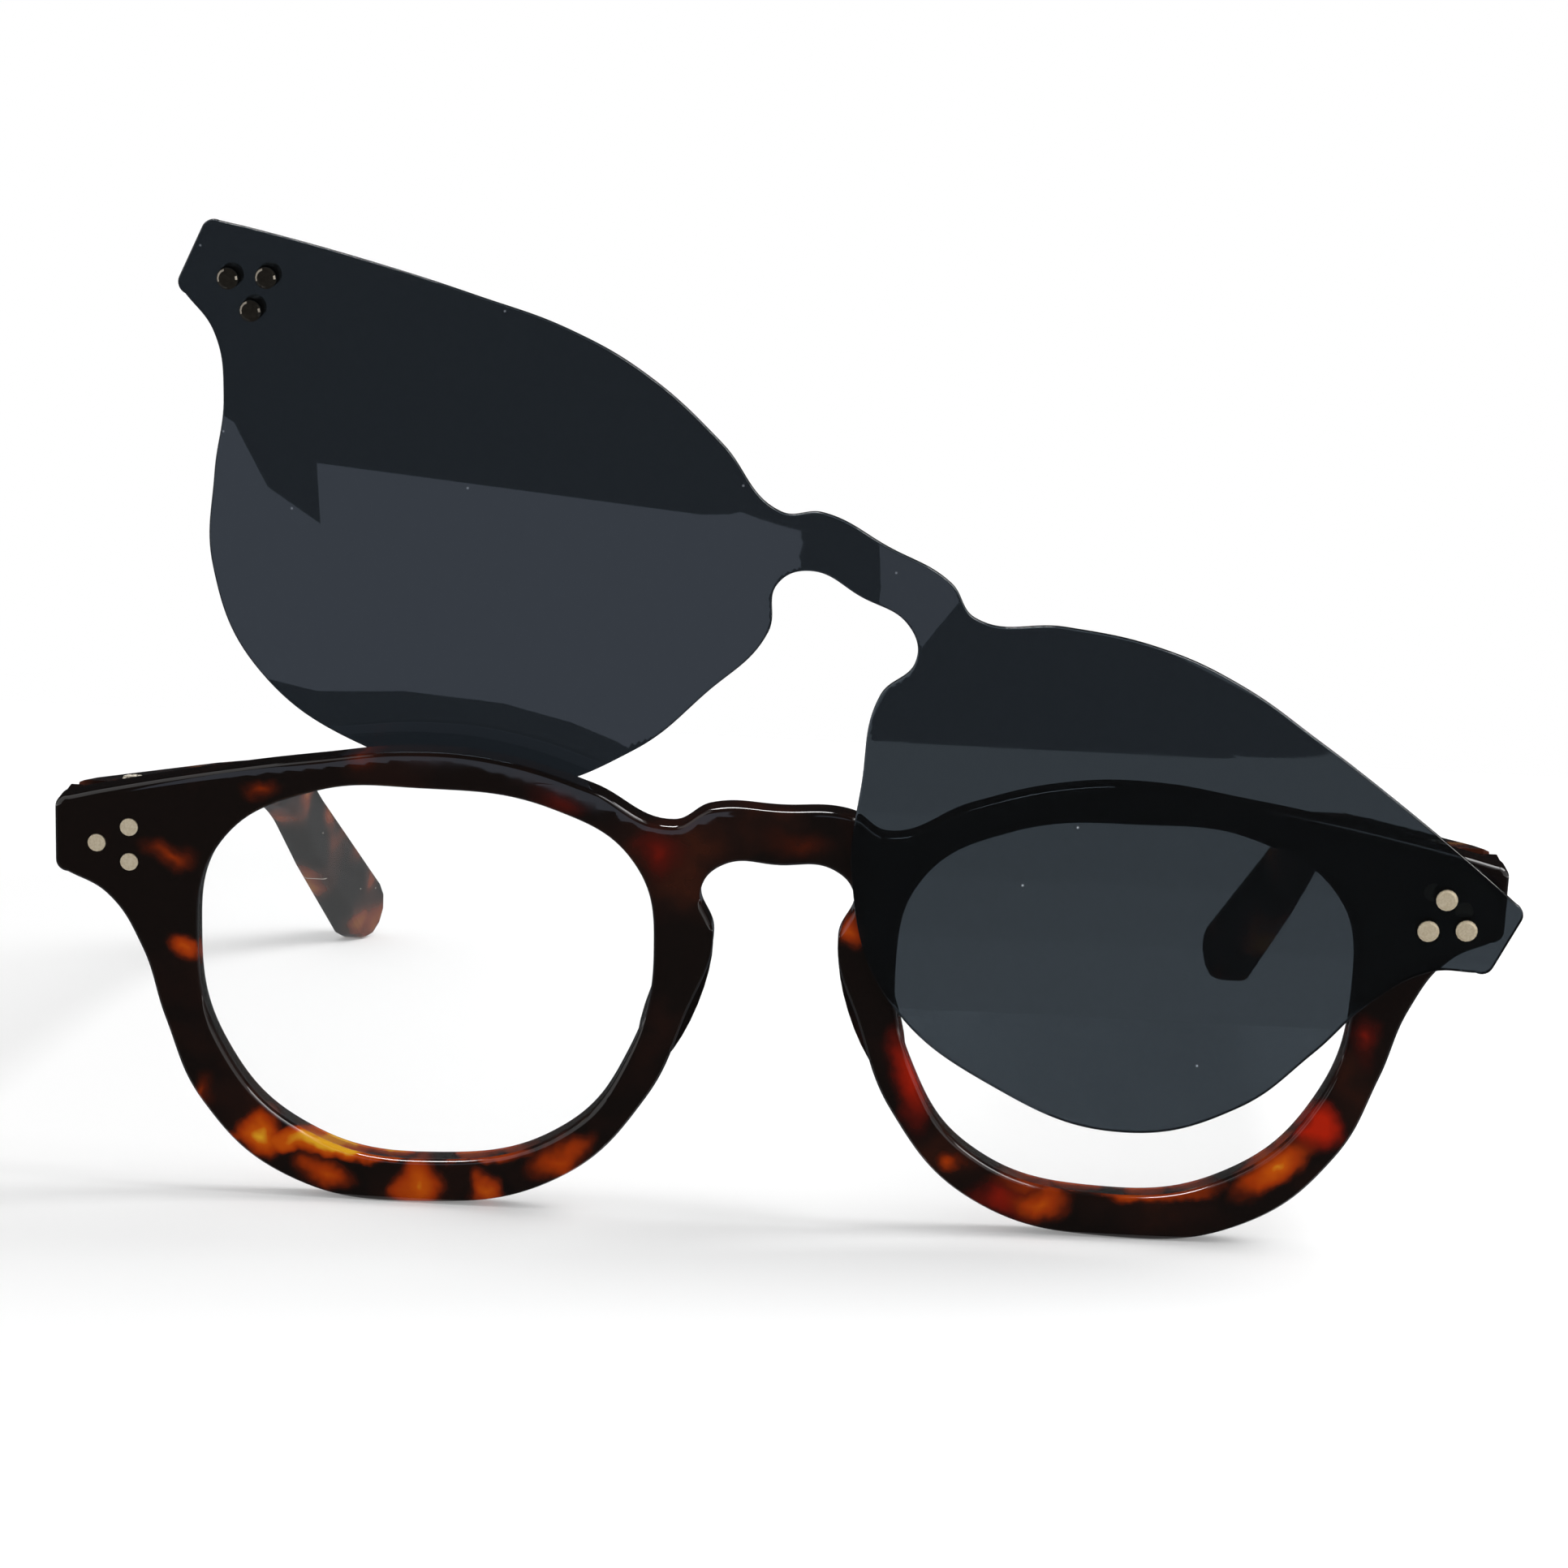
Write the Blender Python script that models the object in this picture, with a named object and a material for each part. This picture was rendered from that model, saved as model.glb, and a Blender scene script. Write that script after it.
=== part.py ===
"""Acetate spectacle frame with a one-piece magnetic clip-on sun lens.

The front faces -Y and leans towards it, the temples run back along +Y, and the set stands on its lower
rims and temple tips. Sides are the wearer's: right is at -X. The clip-on is half taken off: it is turned
up about its magnets on the wearer's left, with its other lens tucked behind the brow.
"""

import math

import bmesh
import bpy
from mathutils import Matrix, Vector

MM = 0.001
SIDES = {"right": -1, "left": 1}

# Front width, the lens openings in it, boxed, and the rim round them
FRONT_WIDTH = 142.0 * MM
END_REACH = 14.1 * MM
LENS_HEIGHT = 38.7 * MM
LENS_GAP = 23.8 * MM
RIM_TOP = 3.7 * MM
RIM_BOTTOM = 4.4 * MM
RIM_NASAL = 4.0 * MM
RIM_TEMPORAL = 4.8 * MM

# Front: drops are below the top of the lens openings
FRONT_THICKNESS = 3.6 * MM
FRONT_EDGE_BEVEL = 0.7 * MM
FRONT_WRAP_RADIUS = 2000.0 * MM
FRONT_LEAN = math.radians(7.5)
END_PIECE_DROP = 2.7 * MM
END_PIECE_HEIGHT = 7.8 * MM
END_PIECE_CROWN = 0.9 * MM
END_PIECE_FLARE = 2.0 * MM
END_CORNER_RADIUS = 1.2 * MM
BROW_SWELL = 0.4 * MM
RIM_SHOULDER = 0.8 * MM
BRIDGE_DROP = 0.4 * MM
BRIDGE_HALF_WIDTH = 6.9 * MM
BRIDGE_FALL = 0.15 * MM
BRIDGE_DIP_DROP = 2.45 * MM
BRIDGE_DIP_X = 10.5 * MM
KEYHOLE_DROP = 5.9 * MM
KEYHOLE_HALF_WIDTH = 7.5 * MM
KEYHOLE_WAIST = 2.9 * MM
KEYHOLE_SHOULDER = 2.1 * MM
KEYHOLE_FALL = 0.25 * MM
NOSE_NUB_DROP = 13.45 * MM
NOSE_NUB_X = 6.1 * MM

# Clear lens and its groove
LENS_THICKNESS = 1.2 * MM
LENS_EDGE_BEVEL = 0.45 * MM
GROOVE_DEPTH = 1.0 * MM
LENS_CLEARANCE = 0.15 * MM

# Nose pads
PAD_LENGTH = 17.0 * MM
PAD_WIDTH = 5.0 * MM
PAD_DEPTH = 4.0 * MM
PAD_TILT = math.radians(19)

# End-piece lug, rivets and hinge
LUG_DEPTH = 3.0 * MM
LUG_INSET = 0.4 * MM
LUG_EDGE_BEVEL = 0.5 * MM
RIVET_DIAMETER = 1.75 * MM
RIVET_STAND = 0.12 * MM
RIVET_SPREAD = 3.55 * MM
RIVET_REACH = 3.2 * MM
RIVET_INSET = 7.4 * MM
RIVET_DROP = 0.6 * MM
KNUCKLE_DIAMETER = 2.8 * MM
KNUCKLE_HEIGHT = 2.3 * MM
SCREW_DIAMETER = 1.2 * MM
SCREW_HEAD_DIAMETER = 2.2 * MM
SCREW_HEAD_HEIGHT = 0.5 * MM
SCREW_SLOT = 0.3 * MM
LEAF_THICKNESS = 0.95 * MM
LEAF_LENGTH = 10.0 * MM
LEAF_HEIGHT = 4.8 * MM
AXIS_INSET = 0.5 * MM
AXIS_SETBACK = 0.2 * MM
WEB_REACH = 1.2 * MM

# Temples
TEMPLE_THICKNESS = 3.8 * MM
TEMPLE_INSET = 0.4 * MM
TEMPLE_ARM_START = 6.0 * MM
TEMPLE_START_HEIGHT = 7.4 * MM
TEMPLE_MIDDLE_HEIGHT = 5.6 * MM
TEMPLE_TIP_HEIGHT = 8.4 * MM
TEMPLE_STRAIGHT = 98.0 * MM
TEMPLE_BEND_RADIUS = 26.0 * MM
TEMPLE_BEND = math.radians(32)
TEMPLE_DROP = 31.0 * MM
TEMPLE_EDGE_BEVEL = 0.8 * MM
TEMPLE_TUCK = 10.0 * MM
TEMPLE_TUCK_START = 76.0 * MM
CORE_THICKNESS = 1.0 * MM
CORE_HEIGHT = 2.2 * MM
CORE_START = 3.0 * MM
CORE_LENGTH = 104.0 * MM
CHANNEL_LEAD = 2.0 * MM

# Clip-on sheet, its pins and magnets, and how it sits half taken off. Its bridge is sprung: from the lens
# in front of the rim to the lens behind the brow it steps back, and twists the lower edge further back
CLIP_THICKNESS = 0.8 * MM
CLIP_EDGE_BEVEL = 0.15 * MM
CLIP_STEP = 2.6 * MM
CLIP_TWIST = math.radians(5.0)
CLIP_BEND_X = -1.6 * MM
CLIP_BEND_HALF_WIDTH = 12.3 * MM
CLIP_TURN = math.radians(25.05)
CLIP_YAW = math.radians(1.3)
CLIP_STAND_OFF = 2.0 * MM
PIN_HEAD_DIAMETER = 2.1 * MM
PIN_HEAD_HEIGHT = 0.3 * MM
PIN_CHAMFER = 0.25 * MM
PIN_SHANK_DIAMETER = 1.4 * MM
MAGNET_DIAMETER = 2.2 * MM
MAGNET_LENGTH = 1.5 * MM

# Clearances
FIT = 0.05 * MM
SEAT_GAP = 0.1 * MM
RUNNING_GAP = 0.25 * MM
BUTT_GAP = 0.3 * MM

# Fineness
OUTLINE_STEPS = 4
ROUND_SIDES = 16
CORNER_STEPS = 3
TIP_STEPS = 6
BEND_STEPS = 8
SLICE_LENGTH = 20.0 * MM

# Sizes and places worked out from the ones above
LENS_WIDTH = (FRONT_WIDTH - LENS_GAP) / 2 - END_REACH
LENS_X = (LENS_GAP + LENS_WIDTH) / 2
LENS_TOP = LENS_HEIGHT / 2
LENS_Z = LENS_TOP + RIM_BOTTOM
END_X = FRONT_WIDTH / 2
END_TOP_Z = LENS_Z + LENS_TOP - END_PIECE_DROP
END_LOW_Z = END_TOP_Z - END_PIECE_HEIGHT
HINGE_Z = END_TOP_Z - END_PIECE_HEIGHT / 2
RIVET_X = END_X - RIVET_INSET
RIVET_Z = HINGE_Z - RIVET_DROP
LUG_OUTER_X = END_X - LUG_INSET
TEMPLE_INNER_X = LUG_OUTER_X - TEMPLE_THICKNESS - TEMPLE_INSET
AXIS_X = TEMPLE_INNER_X - KNUCKLE_DIAMETER / 2 - AXIS_INSET
AXIS_Y = FRONT_THICKNESS + LUG_DEPTH + AXIS_SETBACK
PIVOT = Vector((RIVET_X + RIVET_REACH / 3, -CLIP_STAND_OFF, RIVET_Z))
PIN_PLACES = {"outer": (RIVET_REACH, 0), "upper": (0, RIVET_SPREAD / 2), "lower": (0, -RIVET_SPREAD / 2)}

# Rounded oval of the opening, as shares of half its width and height, from the temple side over the top
OPENING_SHAPE = (
    (1.0, 0.12), (0.90, 0.66), (0.50, 0.95), (0.05, 1.0), (-0.55, 0.925), (-0.90, 0.67),
    (-1.0, 0.2), (-0.90, -0.37), (-0.62, -0.81), (-0.05, -1.0), (0.52, -0.88), (0.88, -0.46),
)


for old in list(bpy.data.objects):
    bpy.data.objects.remove(old, do_unlink=True)
PARTS = bpy.data.collections.new("clip_on_spectacles")
CUTTERS = bpy.data.collections.new("cutters")
bpy.context.scene.collection.children.link(PARTS)
bpy.context.scene.collection.children.link(CUTTERS)


def empty(name, location=(0, 0, 0), parent=None):
    """An empty that carries pieces, such as a hinge axis."""
    holder = bpy.data.objects.new(name, None)
    holder.location = location
    holder.parent = parent
    PARTS.objects.link(holder)
    return holder


def finish(name, hex_colour, roughness, metallic=0.0, alpha=1.0):
    """A Principled material from an sRGB hex colour."""
    made = bpy.data.materials.new(name)
    made.use_nodes = True
    shader = made.node_tree.nodes["Principled BSDF"]
    channels = [int(hex_colour[i:i + 2], 16) / 255 for i in (0, 2, 4)]
    linear = [c / 12.92 if c <= 0.04045 else ((c + 0.055) / 1.055) ** 2.4 for c in channels]
    shader.inputs["Base Color"].default_value = (*linear, 1)
    shader.inputs["Roughness"].default_value = roughness
    shader.inputs["Metallic"].default_value = metallic
    shader.inputs["Alpha"].default_value = alpha
    return made


def acetate(name):
    return finish(name, "3a2115", 0.15)


def clear_plastic(name):
    return finish(name, "eef2f2", 0.05, alpha=0.15)


def tinted_sheet(name):
    return finish(name, "2b2f36", 0.05, alpha=0.8)


def steel(name):
    return finish(name, "c9c2b4", 0.25, metallic=1.0)


def part(name, mesh, parent, material):
    """A named sub-part in the object's collection."""
    made = bpy.data.objects.new(name, mesh)
    mesh.name = name
    mesh.materials.clear()
    mesh.materials.append(material(name))
    mesh.shade_smooth()
    mesh.set_sharp_from_angle(angle=math.radians(35))
    made.parent = parent
    PARTS.objects.link(made)
    return made


def outline_curve(loops, thickness, bevel, bevel_steps=1):
    """A filled flat outline in XZ, as a mesh from y = 0 back to its thickness.

    A loop is a list of (x, z, is_corner) points, a hole's loop runs the other way round.
    """
    flat = bpy.data.curves.new("outline", "CURVE")
    flat.dimensions = "2D"
    flat.fill_mode = "BOTH"
    flat.extrude = thickness / 2 - bevel
    flat.bevel_depth = bevel
    flat.bevel_resolution = bevel_steps
    flat.offset = -bevel
    flat.resolution_u = OUTLINE_STEPS
    for loop in loops:
        spline = flat.splines.new("BEZIER")
        spline.use_cyclic_u = True
        spline.bezier_points.add(len(loop) - 1)
        for point, (x, z, is_corner) in zip(spline.bezier_points, loop):
            point.co = (x, z, 0)
            kind = "VECTOR" if is_corner else "AUTO"
            point.handle_left_type = kind
            point.handle_right_type = kind
    drawn = bpy.data.objects.new("outline", flat)
    CUTTERS.objects.link(drawn)
    mesh = mesh_of(drawn)
    bpy.data.objects.remove(drawn)
    mesh.transform(Matrix.Translation((0, thickness / 2, 0)) @ Matrix.Rotation(math.radians(90), 4, "X"))
    return plain_faces(mesh)


def mesh_of(drawn):
    """The evaluated mesh of an object, with its caps welded."""
    bpy.context.view_layer.update()
    seen = drawn.evaluated_get(bpy.context.evaluated_depsgraph_get())
    mesh = bpy.data.meshes.new_from_object(seen)
    edit(mesh, lambda b: bmesh.ops.remove_doubles(b, verts=b.verts, dist=1e-7))
    return mesh


def plain_faces(mesh):
    """The mesh with the small triangles of each flat face made one face."""
    edit(mesh, lambda b: bmesh.ops.dissolve_limit(b, angle_limit=1e-4, verts=b.verts, edges=b.edges))
    return mesh


def edit(mesh, change):
    """One bmesh change to a mesh, with its normals left facing out."""
    b = bmesh.new()
    b.from_mesh(mesh)
    change(b)
    bmesh.ops.recalc_face_normals(b, faces=b.faces)
    b.to_mesh(mesh)
    b.free()


def cylinder(diameter, low, high, sides=ROUND_SIDES, low_diameter=None):
    """A round bar along Z from low to high, with a taper if its lower diameter is given."""
    mesh = bpy.data.meshes.new("cylinder")
    b = bmesh.new()
    bmesh.ops.create_cone(
        b, cap_ends=True, segments=sides, depth=high - low,
        radius1=(low_diameter or diameter) / 2, radius2=diameter / 2,
        matrix=Matrix.Translation((0, 0, (low + high) / 2)),
    )
    b.to_mesh(mesh)
    b.free()
    return mesh


def block(low, high):
    """A box between two corners."""
    low = Vector(low)
    high = Vector(high)
    mesh = bpy.data.meshes.new("block")
    b = bmesh.new()
    place = Matrix.Translation((low + high) / 2) @ Matrix.Diagonal((*(high - low), 1))
    bmesh.ops.create_cube(b, size=1, matrix=place)
    b.to_mesh(mesh)
    b.free()
    return mesh


def combine(mesh, others, operation):
    """The mesh with the others cut out of it or joined to it."""
    base = bpy.data.objects.new("base", mesh)
    CUTTERS.objects.link(base)
    tools = []
    for other in others:
        tool = bpy.data.objects.new("tool", other)
        tool.hide_render = True
        tool.display_type = "WIRE"
        CUTTERS.objects.link(tool)
        boolean = base.modifiers.new(operation, "BOOLEAN")
        boolean.operation = operation
        boolean.object = tool
        tools.append(tool)
    result = mesh_of(base)
    edit(result, close_slits)
    for used in [base, *tools]:
        bpy.data.objects.remove(used)
    return result


def close_slits(b):
    """Faces for the hair-thin slits that a cut leaves where a new corner lies on an old edge."""
    slits = [edge for edge in b.edges if edge.is_boundary]
    bmesh.ops.holes_fill(b, edges=slits, sides=4)


def moved(mesh, x=0.0, y=0.0, z=0.0, turn=None):
    """The mesh turned, if a matrix is given, and then moved."""
    mesh.transform(Matrix.Translation((x, y, z)) @ (turn or Matrix.Identity(4)))
    return mesh


def sliced(mesh, axis, places):
    """The mesh cut across an axis at the given places, so that it can follow a curve."""
    def slice_all(b):
        normal = Vector((0, 0, 0))
        normal[axis] = 1
        for place in places:
            geometry = [*b.verts, *b.edges, *b.faces]
            bmesh.ops.bisect_plane(b, geom=geometry, dist=1e-6, plane_co=normal * place, plane_no=normal)
    edit(mesh, slice_all)
    return mesh


def evenly_sliced(mesh, axis):
    """The mesh cut across an axis into even lengths."""
    values = [v.co[axis] for v in mesh.vertices]
    low = min(values)
    count = math.ceil((max(values) - low) / SLICE_LENGTH)
    return sliced(mesh, axis, [low + (max(values) - low) * i / count for i in range(1, count)])


def wrap(x):
    """How far the front lies back at x, because it is bowed round the face."""
    return x * x / (2 * FRONT_WRAP_RADIUS)


def bowed(mesh):
    """A mesh of the front bowed round the face."""
    for vertex in mesh.vertices:
        vertex.co.y += wrap(vertex.co.x)
    return mesh


def along_y(mesh):
    """A bar along Z laid along Y, with its top facing the front."""
    mesh.transform(Matrix.Rotation(math.radians(90), 4, "X"))
    return mesh


def end_corner(height, start):
    """The arc of an end-piece's corner, clockwise from its start angle, as short straight steps."""
    turn = math.radians(90) / CORNER_STEPS
    middle = height - END_CORNER_RADIUS if start > 0 else height + END_CORNER_RADIUS
    angles = [start - turn * i for i in range(CORNER_STEPS + 1)]
    reach = END_X - END_CORNER_RADIUS
    return [
        (reach + END_CORNER_RADIUS * math.cos(a), middle + END_CORNER_RADIUS * math.sin(a), True)
        for a in angles
    ]


def half_outline():
    """The front's outer outline on the wearer's left, from the bridge's top round to the keyhole's top."""
    apex = LENS_TOP + RIM_TOP
    width = LENS_WIDTH / 2
    temporal = width + RIM_TEMPORAL
    nasal = width + RIM_NASAL
    low = LENS_TOP + RIM_BOTTOM
    bridge = LENS_TOP - BRIDGE_DROP
    keyhole = LENS_TOP - KEYHOLE_DROP
    end_top = LENS_TOP - END_PIECE_DROP
    end_low = end_top - END_PIECE_HEIGHT
    end_root = LENS_X + temporal
    points = [
        (0, bridge, False),
        (BRIDGE_HALF_WIDTH, bridge - BRIDGE_FALL, False),
        (BRIDGE_DIP_X, LENS_TOP - BRIDGE_DIP_DROP, False),
        (LENS_X - 0.71 * width, 0.885 * LENS_TOP + 0.82 * RIM_TOP, False),
        (LENS_X - 0.3 * width, 0.98 * LENS_TOP + RIM_TOP, False),
        (LENS_X + 0.07 * width, apex, False),
        (LENS_X + 0.48 * width, 0.935 * LENS_TOP + RIM_TOP, False),
        (LENS_X + 0.87 * width, (apex + end_top) / 2 + BROW_SWELL, False),
        ((END_X + end_root) / 2, end_top + END_PIECE_CROWN, False),
        *end_corner(end_top, math.radians(90)),
        *end_corner(end_low, 0),
        ((END_X + end_root) / 2 - BROW_SWELL, end_low - END_PIECE_FLARE, False),
        (end_root + RIM_SHOULDER, 0.08 * LENS_TOP, False),
        (LENS_X + 0.945 * temporal, -0.24 * low, False),
        (LENS_X + 0.81 * temporal, -0.60 * low, False),
        (LENS_X + 0.50 * temporal, -0.916 * low, False),
        (LENS_X, -low, False),
        (LENS_X - 0.52 * nasal, -0.86 * low, False),
        (LENS_X - 0.84 * nasal, -0.478 * low, False),
        (LENS_X - 0.975 * nasal, -0.107 * low, False),
        (NOSE_NUB_X, LENS_TOP - NOSE_NUB_DROP, False),
        (KEYHOLE_HALF_WIDTH, keyhole - KEYHOLE_WAIST, False),
        (KEYHOLE_HALF_WIDTH - KEYHOLE_SHOULDER, keyhole - KEYHOLE_FALL, False),
        (0, keyhole, False),
    ]
    return [(x, LENS_Z + z, is_corner) for x, z, is_corner in points]


def front_outline():
    """The whole outer outline, closed, clockwise as seen from the front."""
    half = half_outline()
    mirrored = [(-x, z, is_corner) for x, z, is_corner in half[-2:0:-1]]
    return half + mirrored


def opening_outline(side, grow=0.0):
    """A lens outline, larger than the opening by grow, against the clock as seen from the front."""
    loop = [
        (side * (LENS_X + u * (LENS_WIDTH / 2 + grow)), LENS_Z + w * (LENS_HEIGHT / 2 + grow), False)
        for u, w in OPENING_SHAPE
    ]
    return loop if side > 0 else loop[::-1]


def lug_outline(side):
    """The block on the back of an end-piece that the temple butts against."""
    inner = side * (TEMPLE_INNER_X - LUG_EDGE_BEVEL / 2)
    outer = side * LUG_OUTER_X
    low = END_LOW_Z + LUG_EDGE_BEVEL
    high = END_TOP_Z - LUG_EDGE_BEVEL
    loop = [(inner, high, True), (outer, high, True), (outer, low, True), (inner, low, True)]
    return loop if side > 0 else loop[::-1]


def rivet_places(side):
    """The middles of an end-piece's three rivets, in the front's plane."""
    return {
        key: (side * (RIVET_X + dx), RIVET_Z + dz)
        for key, (dx, dz) in PIN_PLACES.items()
    }


def make_front(parent):
    """The front: a filled outline with bevelled edges, its lens grooves, lugs and rivet holes."""
    loops = [front_outline()] + [opening_outline(side) for side in SIDES.values()]
    mesh = outline_curve(loops, FRONT_THICKNESS, FRONT_EDGE_BEVEL)
    lugs = []
    holes = []
    grooves = []
    for side in SIDES.values():
        lug = outline_curve([lug_outline(side)], LUG_DEPTH + FRONT_THICKNESS / 2, LUG_EDGE_BEVEL)
        lugs.append(moved(lug, y=FRONT_THICKNESS / 2))
        groove = opening_outline(side, GROOVE_DEPTH)
        thickness = LENS_THICKNESS + 2 * LENS_CLEARANCE
        cut = outline_curve([groove], thickness, LENS_EDGE_BEVEL, 0)
        grooves.append(moved(cut, y=(FRONT_THICKNESS - thickness) / 2))
        for x, z in rivet_places(side).values():
            hole = cylinder(RIVET_DIAMETER + 2 * FIT, -FRONT_THICKNESS - MM, MM)
            holes.append(moved(along_y(hole), x=x, z=z))
    mesh = combine(mesh, lugs, "UNION")
    mesh = combine(mesh, holes + grooves, "DIFFERENCE")
    part("front_frame", bowed(mesh), parent, acetate)


def make_lens(key, side, parent):
    """A clear lens whose bevelled edge sits in the groove."""
    loop = opening_outline(side, GROOVE_DEPTH - LENS_CLEARANCE)
    mesh = outline_curve([loop], LENS_THICKNESS, LENS_EDGE_BEVEL, 0)
    mesh = moved(mesh, y=(FRONT_THICKNESS - LENS_THICKNESS) / 2)
    part(f"demo_lens_{key}", bowed(evenly_sliced(mesh, 0)), parent, clear_plastic)


def make_nose_pad(key, side, parent):
    """A teardrop pad on the back of the rim beside the nose, cut flat where it is cemented."""
    mesh = bpy.data.meshes.new("pad")
    b = bmesh.new()
    bmesh.ops.create_uvsphere(b, u_segments=20, v_segments=14, radius=0.5)
    size = Matrix.Diagonal((PAD_WIDTH, 2 * PAD_DEPTH, PAD_LENGTH, 1))
    turn = Matrix.Rotation(-side * PAD_TILT, 4, "Y")
    x = side * (LENS_X - LENS_WIDTH / 2 - 0.52 * RIM_NASAL)
    place = Matrix.Translation((x, FRONT_THICKNESS, LENS_Z - 0.04 * LENS_HEIGHT))
    bmesh.ops.transform(b, matrix=place @ turn @ size, verts=b.verts)
    seat = (0, FRONT_THICKNESS + SEAT_GAP, 0)
    whole = [*b.verts, *b.edges, *b.faces]
    cut = bmesh.ops.bisect_plane(
        b, geom=whole, dist=1e-7, plane_co=seat, plane_no=(0, -1, 0), clear_outer=True
    )
    edges = [e for e in cut["geom_cut"] if isinstance(e, bmesh.types.BMEdge)]
    bmesh.ops.contextual_create(b, geom=edges)
    bmesh.ops.recalc_face_normals(b, faces=b.faces)
    b.to_mesh(mesh)
    b.free()
    part(f"nose_pad_{key}", bowed(mesh), parent, acetate)


def make_rivets(key, side, parent):
    """Three steel rivets that end flush with the back of the front and stand a little proud of it."""
    for place, (x, z) in rivet_places(side).items():
        mesh = cylinder(RIVET_DIAMETER, -FRONT_THICKNESS + FIT, RIVET_STAND)
        mesh = moved(along_y(mesh), x=x, y=wrap(x), z=z)
        part(f"front_rivet_{key}_{place}", mesh, parent, steel)


def knuckle(low):
    return cylinder(KNUCKLE_DIAMETER, low, low + KNUCKLE_HEIGHT)


def make_hinge(key, side, front, temple, tilt):
    """Front leaf with two knuckles, temple leaf with one between them, and the screw through all three."""
    half = KNUCKLE_HEIGHT / 2
    lows = (half + RUNNING_GAP, -half - RUNNING_GAP - KNUCKLE_HEIGHT)
    back = FRONT_THICKNESS - AXIS_Y + SEAT_GAP
    radius = KNUCKLE_DIAMETER / 2
    top = lows[0] + KNUCKLE_HEIGHT
    leaf = block((-1.6 * radius, back, -top), (0.7 * radius, back + LEAF_THICKNESS, top))
    webs = [
        block((-radius, back + LEAF_THICKNESS / 2, low), (radius, 0, low + KNUCKLE_HEIGHT))
        for low in lows
    ]
    front_leaf = combine(leaf, webs + [knuckle(low) for low in lows], "UNION")
    hole = cylinder(SCREW_DIAMETER + 2 * FIT, -top - MM, top + MM)
    front_leaf = combine(front_leaf, [hole], "DIFFERENCE")
    if side < 0:
        mirror(front_leaf)
    part(f"front_hinge_leaf_{key}", front_leaf, front, steel)

    shank = cylinder(SCREW_DIAMETER, -top, top + FIT + SCREW_HEAD_HEIGHT / 3)
    crest = top + FIT + SCREW_HEAD_HEIGHT
    head = cylinder(SCREW_HEAD_DIAMETER, top + FIT, crest)
    slot = block(
        (-SCREW_HEAD_DIAMETER, -SCREW_SLOT / 2, crest - SCREW_HEAD_HEIGHT / 2),
        (SCREW_HEAD_DIAMETER, SCREW_SLOT / 2, crest + SCREW_SLOT),
    )
    screw = combine(combine(shank, [head], "UNION"), [slot], "DIFFERENCE")
    part(f"hinge_screw_{key}", screw, front, steel)

    inner = TEMPLE_INNER_X - AXIS_X - SEAT_GAP
    start = (radius + RUNNING_GAP + LEAF_HEIGHT / 2 * math.sin(tilt)) / math.cos(tilt)
    plate = side_plate(ribbon(tilt, start, start + LEAF_LENGTH, lambda s: LEAF_HEIGHT), LEAF_THICKNESS, 0)
    plate = moved(plate, x=inner - LEAF_THICKNESS)
    web = block((0, 0, -half), (inner, radius + WEB_REACH, half))
    bore = cylinder(SCREW_DIAMETER + 4 * FIT, -top, top)
    temple_leaf = combine(combine(plate, [web, knuckle(-half)], "UNION"), [bore], "DIFFERENCE")
    if side < 0:
        mirror(temple_leaf)
    part(f"temple_hinge_leaf_{key}", temple_leaf, temple, steel)


def mirror(mesh):
    """The mesh mirrored across X, still facing out."""
    mesh.transform(Matrix.Diagonal((-1, 1, 1, 1)))
    mesh.flip_normals()


def centre_line(s, tilt):
    """A point (y, z) of the temple's middle line at length s behind the hinge, and its slope there."""
    straight = min(s, TEMPLE_STRAIGHT)
    y = straight * math.cos(tilt)
    z = -straight * math.sin(tilt)
    angle = tilt
    bent = min(max(s - TEMPLE_STRAIGHT, 0), TEMPLE_BEND_RADIUS * TEMPLE_BEND)
    if bent > 0:
        angle = tilt + bent / TEMPLE_BEND_RADIUS
        y += TEMPLE_BEND_RADIUS * (math.sin(angle) - math.sin(tilt))
        z += TEMPLE_BEND_RADIUS * (math.cos(angle) - math.cos(tilt))
    rest = max(s - TEMPLE_STRAIGHT - TEMPLE_BEND_RADIUS * TEMPLE_BEND, 0)
    return y + rest * math.cos(angle), z - rest * math.sin(angle), angle


TEMPLE_LENGTH = TEMPLE_STRAIGHT + TEMPLE_BEND_RADIUS * TEMPLE_BEND + TEMPLE_DROP


def temple_height(s):
    """The temple's height at length s: it narrows towards the bend and widens to the tip."""
    if s < TEMPLE_STRAIGHT:
        share = s / TEMPLE_STRAIGHT
        return TEMPLE_START_HEIGHT + (TEMPLE_MIDDLE_HEIGHT - TEMPLE_START_HEIGHT) * share
    share = (s - TEMPLE_STRAIGHT) / (TEMPLE_LENGTH - TEMPLE_STRAIGHT)
    return TEMPLE_MIDDLE_HEIGHT + (TEMPLE_TIP_HEIGHT - TEMPLE_MIDDLE_HEIGHT) * share


def stations(start, end):
    """The lengths along the temple at which its outline needs a point: its ends, and steps round the bend."""
    bend = TEMPLE_BEND_RADIUS * TEMPLE_BEND
    steps = [TEMPLE_STRAIGHT + bend * i / BEND_STEPS for i in range(BEND_STEPS + 1)]
    return [start, *(s for s in steps if start < s < end), end]


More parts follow.
